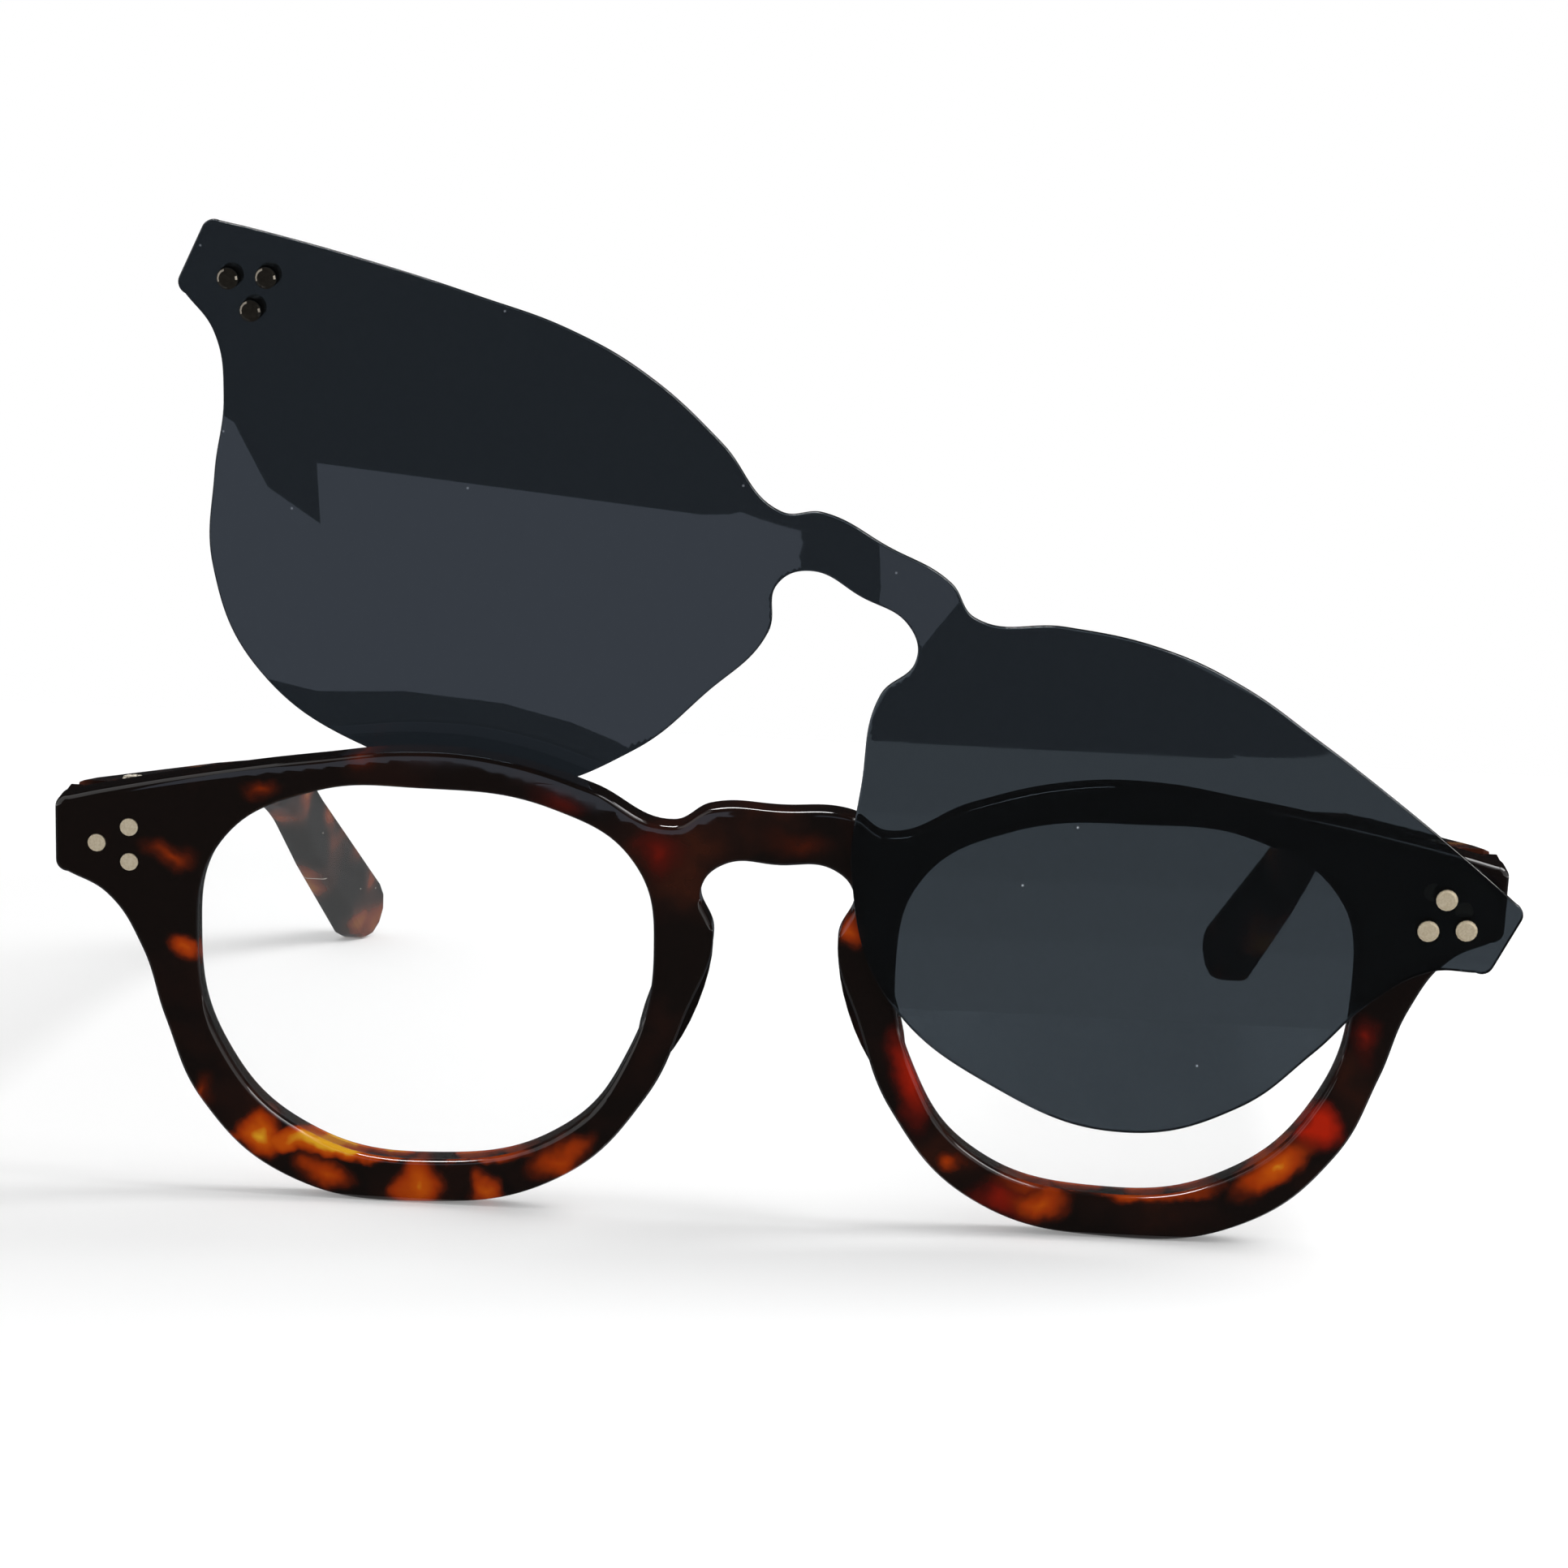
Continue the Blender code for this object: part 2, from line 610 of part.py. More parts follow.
def ribbon(tilt, start, end, height, round_tip=False):
    """A closed loop of points either side of the temple's middle line."""
    upper = []
    lower = []
    for s in stations(start, end):
        y, z, angle = centre_line(s, tilt)
        reach = height(s) / 2
        upper.append((y + reach * math.sin(angle), z + reach * math.cos(angle)))
        lower.append((y - reach * math.sin(angle), z - reach * math.cos(angle)))
    tip = []
    if round_tip:
        y, z, angle = centre_line(end, tilt)
        reach = height(end) / 2
        for i in range(1, TIP_STEPS):
            turn = math.pi / 2 - math.pi * i / TIP_STEPS - angle
            tip.append((y + reach * math.cos(turn), z + reach * math.sin(turn)))
    return upper + tip + lower[::-1]


def temple_loop(tilt):
    """The temple's outline in its side view: a square butt end, then the tapered arm and round tip."""
    butt = FRONT_THICKNESS + LUG_DEPTH + BUTT_GAP - AXIS_Y
    half = TEMPLE_START_HEIGHT / 2
    end = TEMPLE_LENGTH - TEMPLE_TIP_HEIGHT / 2
    arm = ribbon(tilt, TEMPLE_ARM_START, end, temple_height, round_tip=True)
    return [(butt, half)] + arm + [(butt, -half)]


def stand_tilt():
    """The temple's slope below the front's square, at which its tip stands level with the rims."""
    lower, upper = 0.0, math.radians(30)
    for _ in range(40):
        tilt = (lower + upper) / 2
        heights = [
            (AXIS_Y + y) * math.sin(FRONT_LEAN) + (HINGE_Z + z) * math.cos(FRONT_LEAN)
            for y, z in temple_loop(tilt)
        ]
        if min(heights) > 0:
            lower = tilt
        else:
            upper = tilt
    return tilt


def side_plate(loop, thickness, bevel):
    """A plate in the YZ plane from x = 0 outwards, from a side view outline."""
    mesh = outline_curve([[(y, z, True) for y, z in loop]], thickness, bevel)
    mesh.transform(Matrix.Translation((thickness, 0, 0)) @ Matrix.Rotation(math.radians(90), 4, "Z"))
    return mesh


def tucked(mesh, side):
    """A temple's mesh bowed in towards the head, on the side it belongs to."""
    length = TEMPLE_STRAIGHT + TEMPLE_DROP - TEMPLE_TUCK_START
    for vertex in mesh.vertices:
        share = max(vertex.co.y - TEMPLE_TUCK_START, 0) / length
        vertex.co.x -= TEMPLE_TUCK * share * share
    if side < 0:
        mirror(mesh)
    return mesh


def make_temple(key, side, parent, tilt):
    """An acetate arm with a wire core in a channel that opens at its butt end."""
    inner = TEMPLE_INNER_X - AXIS_X
    arm = moved(side_plate(temple_loop(tilt), TEMPLE_THICKNESS, TEMPLE_EDGE_BEVEL), x=inner)
    thickness = CORE_THICKNESS + 2 * BUTT_GAP
    channel_height = CORE_HEIGHT + 2 * BUTT_GAP
    end = CORE_START + CORE_LENGTH
    hollow = ribbon(tilt, -CHANNEL_LEAD, end + BUTT_GAP, lambda s: channel_height)
    channel = side_plate(hollow, thickness, 0)
    channel = moved(channel, x=inner + (TEMPLE_THICKNESS - thickness) / 2)
    arm = combine(arm, [channel], "DIFFERENCE")
    part(f"temple_{key}", tucked(evenly_sliced(arm, 1), side), parent, acetate)
    core = side_plate(ribbon(tilt, CORE_START, end, lambda s: CORE_HEIGHT), CORE_THICKNESS, 0)
    core = moved(core, x=inner + (TEMPLE_THICKNESS - CORE_THICKNESS) / 2)
    part(f"temple_core_{key}", tucked(evenly_sliced(core, 1), side), parent, steel)


def spring(x):
    """How much of the bridge's bend lies between x and the lens in front: none there, 1 at the far lens."""
    share = (CLIP_BEND_X + CLIP_BEND_HALF_WIDTH - x) / (2 * CLIP_BEND_HALF_WIDTH)
    return (1 - math.cos(math.pi * min(max(share, 0), 1))) / 2


def sheet_back(x, z):
    """How far the clip-on's sheet lies back at a point, because of its sprung bridge."""
    return spring(x) * (CLIP_STEP + math.tan(CLIP_TWIST) * (PIVOT.z - z))


def make_clip(pivot):
    """The one-piece sheet, its six pins and the magnets behind them, about the pivot on the left."""
    mesh = outline_curve([front_outline()], CLIP_THICKNESS, CLIP_EDGE_BEVEL, 0)
    start = CLIP_BEND_X - CLIP_BEND_HALF_WIDTH
    bends = [start + 2 * CLIP_BEND_HALF_WIDTH * i / BEND_STEPS for i in range(BEND_STEPS + 1)]
    mesh = sliced(moved(mesh, y=-CLIP_THICKNESS / 2), 0, bends)
    for vertex in mesh.vertices:
        vertex.co.y += sheet_back(vertex.co.x, vertex.co.z)
    stacks = {}
    holes = []
    for key, side in SIDES.items():
        for place, (x, z) in rivet_places(side).items():
            tilt = Matrix.Rotation(CLIP_TWIST * spring(x), 4, "X")
            stack = Matrix.Translation((x, sheet_back(x, z), z)) @ tilt
            hole = along_y(cylinder(PIN_SHANK_DIAMETER + 2 * FIT, -MM, MM))
            hole.transform(stack)
            holes.append(hole)
            stacks[f"{key}_{place}"] = stack
    mesh = combine(mesh, holes, "DIFFERENCE")
    centre = Matrix.Translation((-PIVOT.x, 0, -PIVOT.z))
    mesh.transform(centre)
    part("clip_lens", mesh, pivot, tinted_sheet)
    face = CLIP_THICKNESS / 2 + FIT
    for name, stack in stacks.items():
        pin = make_pin(face)
        pin.transform(centre @ stack)
        part(f"clip_pin_{name}", pin, pivot, steel)
        magnet = make_magnet(face)
        magnet.transform(centre @ stack)
        part(f"clip_magnet_{name}", magnet, pivot, steel)


def make_pin(face):
    """A pin along Y: chamfered head in front of the sheet, and a shank into the magnet's pocket."""
    shank = cylinder(PIN_SHANK_DIAMETER, -face - MAGNET_LENGTH / 2, face + PIN_HEAD_HEIGHT / 3)
    collar = cylinder(PIN_HEAD_DIAMETER, face, face + PIN_HEAD_HEIGHT - PIN_CHAMFER / 2)
    top = face + PIN_HEAD_HEIGHT
    land = PIN_HEAD_DIAMETER - 2 * PIN_CHAMFER
    crown = cylinder(land, top - PIN_CHAMFER / 2 - FIT, top, low_diameter=PIN_HEAD_DIAMETER)
    return along_y(combine(shank, [collar, crown], "UNION"))


def make_magnet(face):
    """A disc magnet along Y behind the sheet, with a pocket for the pin's shank."""
    disc = cylinder(MAGNET_DIAMETER, -face - MAGNET_LENGTH, -face)
    pocket = cylinder(PIN_SHANK_DIAMETER + 2 * FIT, -face - MAGNET_LENGTH / 2 - SEAT_GAP, face)
    return along_y(combine(disc, [pocket], "DIFFERENCE"))


def build():
    base = empty("base")
    lean = empty("front_lean", parent=base)
    lean.rotation_euler = (FRONT_LEAN, 0, 0)
    make_front(lean)
    tilt = stand_tilt()
    for key, side in SIDES.items():
        make_lens(key, side, lean)
        make_nose_pad(key, side, lean)
        make_rivets(key, side, lean)
        x = side * AXIS_X
        axis = empty(f"hinge_axis_{key}", (x, AXIS_Y + wrap(x), HINGE_Z), lean)
        make_hinge(key, side, axis, axis, tilt)
        make_temple(key, side, axis, tilt)
    pivot = empty("clip_pivot", PIVOT, lean)
    pivot.rotation_mode = "ZXY"
    pivot.rotation_euler = (0, CLIP_TURN, -CLIP_YAW)
    make_clip(pivot)
    centre_on_base(base)
    for holder in PARTS.objects:
        if holder.type == "EMPTY":
            print(holder.name, [round(v, 5) for v in holder.matrix_world.translation])


def centre_on_base(base):
    """The origin at the middle of the bottom of the whole set's box."""
    bpy.context.view_layer.update()
    corners = [
        made.matrix_world @ vertex.co
        for made in PARTS.objects
        if made.type == "MESH"
        for vertex in made.data.vertices
    ]
    low = [min(corner[i] for corner in corners) for i in range(3)]
    high = [max(corner[i] for corner in corners) for i in range(3)]
    base.location = (-(low[0] + high[0]) / 2, -(low[1] + high[1]) / 2, -low[2])
    bpy.context.view_layer.update()


build()
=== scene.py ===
# %% [markdown]
# # Tortoiseshell spectacles with a magnetic clip-on sun lens
#
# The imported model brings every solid: the acetate front, its lenses, hinges and temples, and the tinted
# clip-on that is half taken off. This lesson puts them in a small white studio and gives each one the
# finish of its real material, so the first step is to load the model and keep its box.

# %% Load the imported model
import math

import bpy
from mathutils import Euler, Matrix, Vector


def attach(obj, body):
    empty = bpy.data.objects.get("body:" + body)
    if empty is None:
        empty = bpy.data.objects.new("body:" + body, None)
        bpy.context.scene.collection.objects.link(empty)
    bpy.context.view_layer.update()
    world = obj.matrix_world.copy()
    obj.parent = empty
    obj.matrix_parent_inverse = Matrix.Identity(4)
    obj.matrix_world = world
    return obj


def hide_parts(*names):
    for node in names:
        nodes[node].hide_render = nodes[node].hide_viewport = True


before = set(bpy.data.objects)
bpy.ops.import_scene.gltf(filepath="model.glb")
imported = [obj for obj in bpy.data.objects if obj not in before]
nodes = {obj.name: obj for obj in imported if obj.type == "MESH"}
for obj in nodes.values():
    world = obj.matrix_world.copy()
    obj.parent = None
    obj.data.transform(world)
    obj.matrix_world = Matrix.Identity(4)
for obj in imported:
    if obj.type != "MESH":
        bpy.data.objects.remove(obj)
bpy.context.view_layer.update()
scene = bpy.context.scene
MM = 0.001

# %% [markdown]
# ## Camera
#
# The photograph was taken a little above the front, from about 35 cm, with a moderate telephoto lens. Its
# place was worked out from the rivets, the corners of the end-pieces and the nose of the bridge, which
# are all known points of the model.

# %% Place the camera
FOCAL_LENGTH = 83.85
SENSOR_WIDTH = 36
CAMERA_PLACE = (4.93, -419.0, 97.45)
CAMERA_TURN = (81.47, -2.67, 1.26)
camera_data = bpy.data.cameras.new("camera")
camera_data.lens = FOCAL_LENGTH
camera_data.sensor_width = SENSOR_WIDTH
camera = bpy.data.objects.new("camera", camera_data)
camera.location = Vector(CAMERA_PLACE) * MM
camera.rotation_euler = Euler([math.radians(angle) for angle in CAMERA_TURN])
scene.collection.objects.link(camera)
scene.camera = camera
scene.view_settings.view_transform = "Standard"
print("camera at", [round(v, 3) for v in camera.location])

# %% [markdown]
# ## Helpers
#
# Colours are read off as sRGB hex values, while the shader wants linear ones, so one function turns them.
# One more adds a node with its settings and its links, because every finish below is a small net of
# nodes, and a third puts a finish on the solids that have it.


# %% Colour and node helpers
def colour(hex_value):
    """A linear RGBA colour from an sRGB hex value."""
    channels = [int(hex_value[i:i + 2], 16) / 255 for i in (0, 2, 4)]
    linear = [c / 12.92 if c <= 0.04045 else ((c + 0.055) / 1.055) ** 2.4 for c in channels]
    return (*linear, 1)


def add_node(tree, kind, settings=None, links=None):
    """A node in a tree, with its settings and the sockets that feed its inputs."""
    made = tree.nodes.new(kind)
    for name, value in (settings or {}).items():
        if isinstance(name, str) and hasattr(made, name):
            setattr(made, name, value)
        else:
            made.inputs[name].default_value = value
    for name, source in (links or {}).items():
        tree.links.new(source, made.inputs[name])
    return made


def new_material(name, settings):
    """A Principled material with constants set on its shader."""
    made = bpy.data.materials.new(name)
    made.use_nodes = True
    shader = made.node_tree.nodes["Principled BSDF"]
    for socket, value in settings.items():
        shader.inputs[socket].default_value = value
    return made, shader


def ramp_colours(ramp, stops):
    """The stops of a colour ramp, each a place and a hex colour."""
    elements = ramp.color_ramp.elements
    while len(elements) < len(stops):
        elements.new(0.5)
    for element, (place, hex_value) in zip(elements, stops):
        element.position = place
        element.color = colour(hex_value)


def dress(prefixes, material):
    """The solids whose names start so, in a material."""
    names = [name for name in nodes if name.startswith(prefixes)]
    for name in names:
        mesh = nodes[name].data
        mesh.materials.clear()
        mesh.materials.append(material)
    print(material.name, "on", len(names), "solids")


# %% [markdown]
# ## Paper floor
#
# The set stands on white paper that ends not far behind it. The paper sends out some white light of its
# own, more of it far from the set, so it stays white to its edge while the shadows near the set show.

# %% Floor
FLOOR_FRONT = -1.2
FLOOR_BACK = 0.29
FLOOR_WIDTH = 3
NEAR_THE_SET = 0.15
FAR_FROM_THE_SET = 0.6
NEAR_GLOW = 0.2
FAR_GLOW = 0.7
bpy.ops.object.select_all(action="DESELECT")
bpy.ops.mesh.primitive_plane_add(size=1, location=(0, (FLOOR_FRONT + FLOOR_BACK) / 2, 0))
floor = bpy.context.object
floor.name = "paper_floor"
floor.scale = (FLOOR_WIDTH, FLOOR_BACK - FLOOR_FRONT, 1)
bpy.ops.object.transform_apply(location=True, scale=True)
paper, paper_shader = new_material("white_paper", {
    "Base Color": colour("e6e6e6"),
    "Roughness": 0.9,
    "Specular IOR Level": 0.0,
    "Emission Color": colour("ffffff"),
})
tree = paper.node_tree
place = add_node(tree, "ShaderNodeTexCoord").outputs["Object"]
distance = add_node(tree, "ShaderNodeVectorMath", {"operation": "LENGTH"}, {0: place})
own_light = add_node(tree, "ShaderNodeMapRange", {
    "From Min": NEAR_THE_SET, "From Max": FAR_FROM_THE_SET, "To Min": NEAR_GLOW, "To Max": FAR_GLOW,
}, {"Value": distance.outputs["Value"]})
tree.links.new(own_light.outputs["Result"], paper_shader.inputs["Emission Strength"])
floor.data.materials.append(paper)
print("paper floor from", FLOOR_FRONT, "to", FLOOR_BACK)

# %% [markdown]
# ## Room
#
# The room is white to the camera, in reflections and through glass, and it lights the set evenly at a
# plain level, so a colour comes out about as it is written.

# %% World
ROOM_LIGHT = 0.65
world = bpy.data.worlds.new("white_room")
scene.world = world
world.use_nodes = True
room = world.node_tree
path = add_node(room, "ShaderNodeLightPath")
seen = path.outputs["Is Camera Ray"]
for kind in ("Is Glossy Ray", "Is Transmission Ray"):
    either = add_node(room, "ShaderNodeMath", {"operation": "MAXIMUM"}, {0: seen, 1: path.outputs[kind]})
    seen = either.outputs["Value"]
strength = add_node(room, "ShaderNodeMapRange", {"To Min": ROOM_LIGHT, "To Max": 1.0}, {"Value": seen})
background = room.nodes["Background"]
background.inputs["Color"].default_value = (1, 1, 1, 1)
room.links.new(strength.outputs["Result"], background.inputs["Strength"])
print("white room")

# %% [markdown]
# ## Lamps
#
# One soft lamp stands high on the right and throws the soft shadows to the left. A second one behind only
# shows in the polish, where it draws the thin bright line along the top edges.


# %% Lamps
def soft_box(name, place, target, size, watts):
    """A square studio lamp that faces a point."""
    data = bpy.data.lights.new(name, "AREA")
    data.size = size
    data.energy = watts
    lamp = bpy.data.objects.new(name, data)
    lamp.location = place
    lamp.rotation_euler = (Vector(target) - Vector(place)).to_track_quat("-Z", "Y").to_euler()
    scene.collection.objects.link(lamp)
    return lamp


KEY_PLACE = (0.5, -0.04, 0.58)
KEY_TARGET = (0, -0.02, 0.02)
KEY_SIZE = 0.45
KEY_WATTS = 4.2
RIM_PLACE = (-0.1, 0.32, 0.7)
RIM_TARGET = (0, -0.06, 0.04)
RIM_SIZE = 0.3
RIM_WATTS = 7
soft_box("key_lamp", KEY_PLACE, KEY_TARGET, KEY_SIZE, KEY_WATTS)
rim_lamp = soft_box("rim_lamp", RIM_PLACE, RIM_TARGET, RIM_SIZE, RIM_WATTS)
rim_lamp.visible_diffuse = False
print("two soft lamps")

# %% [markdown]
# ## Cards
#
# Polished acetate and dark plastic show mostly what stands round them. The photographer's side of the
# room was dark, so a dark hood stands there. The room behind the paper was dim, which the raised sheet
# shows, so a grey wall stands behind, the paper is dimmer towards it when it is seen through the sheet,
# and a grey mat keeps the paper's glare off the temples. A pale card in front of the brow gives the lower
# part of the raised lens its sheen, and a small one lights the sprung bridge. They are flat polygons that
# the camera doesn't see and that throw no shadow.


# %% Hood, wall and card
def card(name, points, faces, hex_value, in_gloss, in_glass):
    """Flat glowing faces between points that show in reflections, through glass, or both."""
    bpy.ops.object.select_all(action="DESELECT")
    bpy.ops.mesh.primitive_plane_add(size=1)
    made = bpy.context.object
    made.name = name
    made.data.clear_geometry()
    made.data.from_pydata([Vector(point) * MM for point in points], [], faces)
    finish = new_material(name, {
        "Base Color": colour("000000"),
        "Specular IOR Level": 0.0,
        "Emission Color": colour(hex_value),
        "Emission Strength": 1.0,
    })[0]
    made.data.materials.append(finish)
    made.visible_camera = False
    made.visible_diffuse = False
    made.visible_glossy = in_gloss
    made.visible_transmission = in_glass
    made.visible_shadow = False
    print(name, "of", len(points), "points")


ROOM_HEIGHT = 900
WALL_Y = 340
HOOD_HALF_WIDTH = 350
HOOD_SIDE = ((-63, 0.5), (-450, 0.5), (-450, ROOM_HEIGHT), (WALL_Y, ROOM_HEIGHT))
hood_points = [(x, y, z) for y, z in HOOD_SIDE for x in (-HOOD_HALF_WIDTH, HOOD_HALF_WIDTH)]
hood_faces = [(2 * i, 2 * i + 1, 2 * i + 3, 2 * i + 2) for i in range(len(HOOD_SIDE) - 1)]
card("dark_hood", hood_points, hood_faces, "404040", in_gloss=True, in_glass=False)
ONE_FACE = [(0, 1, 2, 3)]
WALL_HALF_WIDTH = 1200
WALL_FOOT = -300
WALL = (
    (-WALL_HALF_WIDTH, WALL_Y, WALL_FOOT), (WALL_HALF_WIDTH, WALL_Y, WALL_FOOT),
    (WALL_HALF_WIDTH, WALL_Y, ROOM_HEIGHT), (-WALL_HALF_WIDTH, WALL_Y, ROOM_HEIGHT),
)
STRIP_LIFT = 0.6
STRIP_LEFT = -5
STRIP_RIGHT = 500
DIM_PAPER_LEFT = -400
DIM_PAPER_FRONT = 185
WALL_PAPER = (
    (DIM_PAPER_LEFT, DIM_PAPER_FRONT, STRIP_LIFT), (STRIP_LEFT, DIM_PAPER_FRONT, STRIP_LIFT),
    (STRIP_LEFT, WALL_Y, STRIP_LIFT), (DIM_PAPER_LEFT, WALL_Y, STRIP_LIFT),
)
card("dim_wall", WALL + WALL_PAPER, ONE_FACE + [(4, 5, 6, 7)], "8c8e92", in_gloss=False, in_glass=True)
card("dark_wall", WALL, ONE_FACE, "1f1f20", in_gloss=True, in_glass=False)
PAPER_STRIPS = ((40, 90, "fafafa"), (90, 140, "f2f2f2"), (140, 200, "eaeaea"), (200, 290, "e2e2e2"))
for near, far, hex_value in PAPER_STRIPS:
    strip = (
        (STRIP_LEFT, near, STRIP_LIFT), (STRIP_RIGHT, near, STRIP_LIFT),
        (STRIP_RIGHT, far, STRIP_LIFT), (STRIP_LEFT, far, STRIP_LIFT),
    )
    card(f"far_paper_{near}", strip, ONE_FACE, hex_value, in_gloss=False, in_glass=True)
MAT_LIFT = 0.4
MAT_HALF_WIDTH = 300
MAT_FRONT = -60
MAT_BACK = 290
MAT = (
    (-MAT_HALF_WIDTH, MAT_FRONT, MAT_LIFT), (MAT_HALF_WIDTH, MAT_FRONT, MAT_LIFT),
    (MAT_HALF_WIDTH, MAT_BACK, MAT_LIFT), (-MAT_HALF_WIDTH, MAT_BACK, MAT_LIFT),
)
card("grey_mat", MAT, ONE_FACE, "56595d", in_gloss=True, in_glass=False)
CARD_Y = -92.8
CARD_OUTLINE = (
    (-72, 73), (-61.6, 66.2), (-58.5, 59.1), (-53.1, 55.3), (-53.1, 62.3), (-13, 59.9), (-10, 60.2),
    (-7.9, 61), (-6.3, 61.6), (-7.6, 58.5), (-8, 56), (-6, 33), (-20.4, 31.5), (-27, 34), (-34.3, 35.6),
    (-45, 36), (-54.7, 35), (-72, 38),
)
BRIDGE_OUTLINE = ((1.6, 66), (16, 66), (15.5, 59.5), (9, 53), (1.6, 53))
for name, outline, hex_value in (
    ("pale_card", CARD_OUTLINE, "d2dff5"), ("bridge_card", BRIDGE_OUTLINE, "c0cce0"),
):
    card_points = [(x, CARD_Y, z) for x, z in outline]
    card(name, card_points, [tuple(range(len(outline)))], hex_value, in_gloss=True, in_glass=False)

# %% [markdown]
# ## Outline of the front
#
# The acetate front and the clip-on are routed along one outline: a straight keyhole bridge, a brow that
# runs out into a squared end-piece, and a rim that is widest at the bottom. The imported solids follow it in
# short straight steps. Here it is drawn once more from the same sizes, as a smooth Bezier curve, so that
# the polished edges show no corners. Half of it is listed in millimetres and then mirrored.

# %% Sizes shared by the front and the clip-on
FRONT_WIDTH = 142.0
END_REACH = 14.1
LENS_HEIGHT = 38.7
LENS_GAP = 23.8
RIM_TOP = 3.7
RIM_BOTTOM = 4.4
RIM_NASAL = 4.0
RIM_TEMPORAL = 4.8
FRONT_THICKNESS = 3.6
FRONT_WRAP_RADIUS = 2000.0
FRONT_LEAN = math.radians(7.5)
END_PIECE_DROP = 2.7
END_PIECE_HEIGHT = 7.8
END_CORNER_RADIUS = 1.2
CORNER_STEPS = 8
KEYHOLE_DROP = 5.9
LENS_WIDTH = (FRONT_WIDTH - LENS_GAP) / 2 - END_REACH
LENS_X = (LENS_GAP + LENS_WIDTH) / 2
LENS_TOP = LENS_HEIGHT / 2
LENS_Z = LENS_TOP + RIM_BOTTOM
END_X = FRONT_WIDTH / 2
END_TOP_Z = LENS_Z + LENS_TOP - END_PIECE_DROP
END_LOW_Z = END_TOP_Z - END_PIECE_HEIGHT
HINGE_Z = (END_TOP_Z + END_LOW_Z) / 2
BASE_SHIFT = Vector((-0.46, -64.32, -0.03))
LEANING = Matrix.Translation(BASE_SHIFT * MM) @ Matrix.Rotation(FRONT_LEAN, 4, "X")
print("lens opening", round(LENS_WIDTH, 2), "by", LENS_HEIGHT, "mm")


# %% Outline
def end_corner(height, start):
    """The arc of an end-piece's corner, clockwise from its start angle."""
    turn = math.radians(90) / CORNER_STEPS
    middle = height - END_CORNER_RADIUS if start > 0 else height + END_CORNER_RADIUS
    reach = END_X - END_CORNER_RADIUS
    return [
        (reach + END_CORNER_RADIUS * math.cos(start - turn * i),
         middle + END_CORNER_RADIUS * math.sin(start - turn * i), True)
        for i in range(CORNER_STEPS + 1)
    ]


def half_outline():
    """Points (x, z, is_corner) from the top of the bridge round the wearer's left rim to the keyhole."""
    apex = LENS_TOP + RIM_TOP
    width = LENS_WIDTH / 2
    temporal = width + RIM_TEMPORAL
    nasal = width + RIM_NASAL
    low = LENS_TOP + RIM_BOTTOM
    end_top = LENS_TOP - END_PIECE_DROP
    end_low = end_top - END_PIECE_HEIGHT
    end_root = LENS_X + temporal
    keyhole = LENS_TOP - KEYHOLE_DROP
    points = [
        (0, LENS_TOP - 0.4, False),
        (6.9, LENS_TOP - 0.55, False),
        (10.5, LENS_TOP - 2.45, False),
        (LENS_X - 0.71 * width, 0.885 * LENS_TOP + 0.82 * RIM_TOP, False),
        (LENS_X - 0.3 * width, 0.98 * LENS_TOP + RIM_TOP, False),
        (LENS_X + 0.07 * width, apex, False),
        (LENS_X + 0.48 * width, 0.935 * LENS_TOP + RIM_TOP, False),
        (LENS_X + 0.87 * width, (apex + end_top) / 2 + 0.4, False),
        ((END_X + end_root) / 2, end_top + 0.9, False),
        *end_corner(end_top, math.radians(90)),
        *end_corner(end_low, 0),
        ((END_X + end_root) / 2 - 0.4, end_low - 2.0, False),
        (end_root + 0.8, 0.08 * LENS_TOP, False),
        (LENS_X + 0.945 * temporal, -0.24 * low, False),
        (LENS_X + 0.81 * temporal, -0.60 * low, False),
        (LENS_X + 0.50 * temporal, -0.916 * low, False),
        (LENS_X, -low, False),
        (LENS_X - 0.52 * nasal, -0.86 * low, False),
        (LENS_X - 0.84 * nasal, -0.478 * low, False),
        (LENS_X - 0.975 * nasal, -0.107 * low, False),
        (6.1, LENS_TOP - 13.45, False),
        (7.5, keyhole - 2.9, False),
        (5.4, keyhole - 0.25, False),
        (0, keyhole, False),
    ]
    return [(x, LENS_Z + z, is_corner) for x, z, is_corner in points]


half = half_outline()
OUTER = half + [(-x, z, is_corner) for x, z, is_corner in half[-2:0:-1]]
OPENING_SHAPE = (
    (1.0, 0.12), (0.90, 0.66), (0.50, 0.95), (0.05, 1.0), (-0.55, 0.925), (-0.90, 0.67),
    (-1.0, 0.2), (-0.90, -0.37), (-0.62, -0.81), (-0.05, -1.0), (0.52, -0.88), (0.88, -0.46),
)


def opening(side, grow=0.0):
    """The outline of a lens opening, larger by grow."""
    loop = [
        (side * (LENS_X + u * (LENS_WIDTH / 2 + grow)), LENS_Z + w * (LENS_TOP + grow), False)
        for u, w in OPENING_SHAPE
    ]
    return loop if side > 0 else loop[::-1]


print("outline of", len(OUTER), "points")


# %% Plate from an outline
CURVE_STEPS = 14
SAME_POINT = 1e-7
SAME_PLANE = 1e-4
ON_THE_CUT = 1e-6
SHARP_EDGE = math.radians(35)


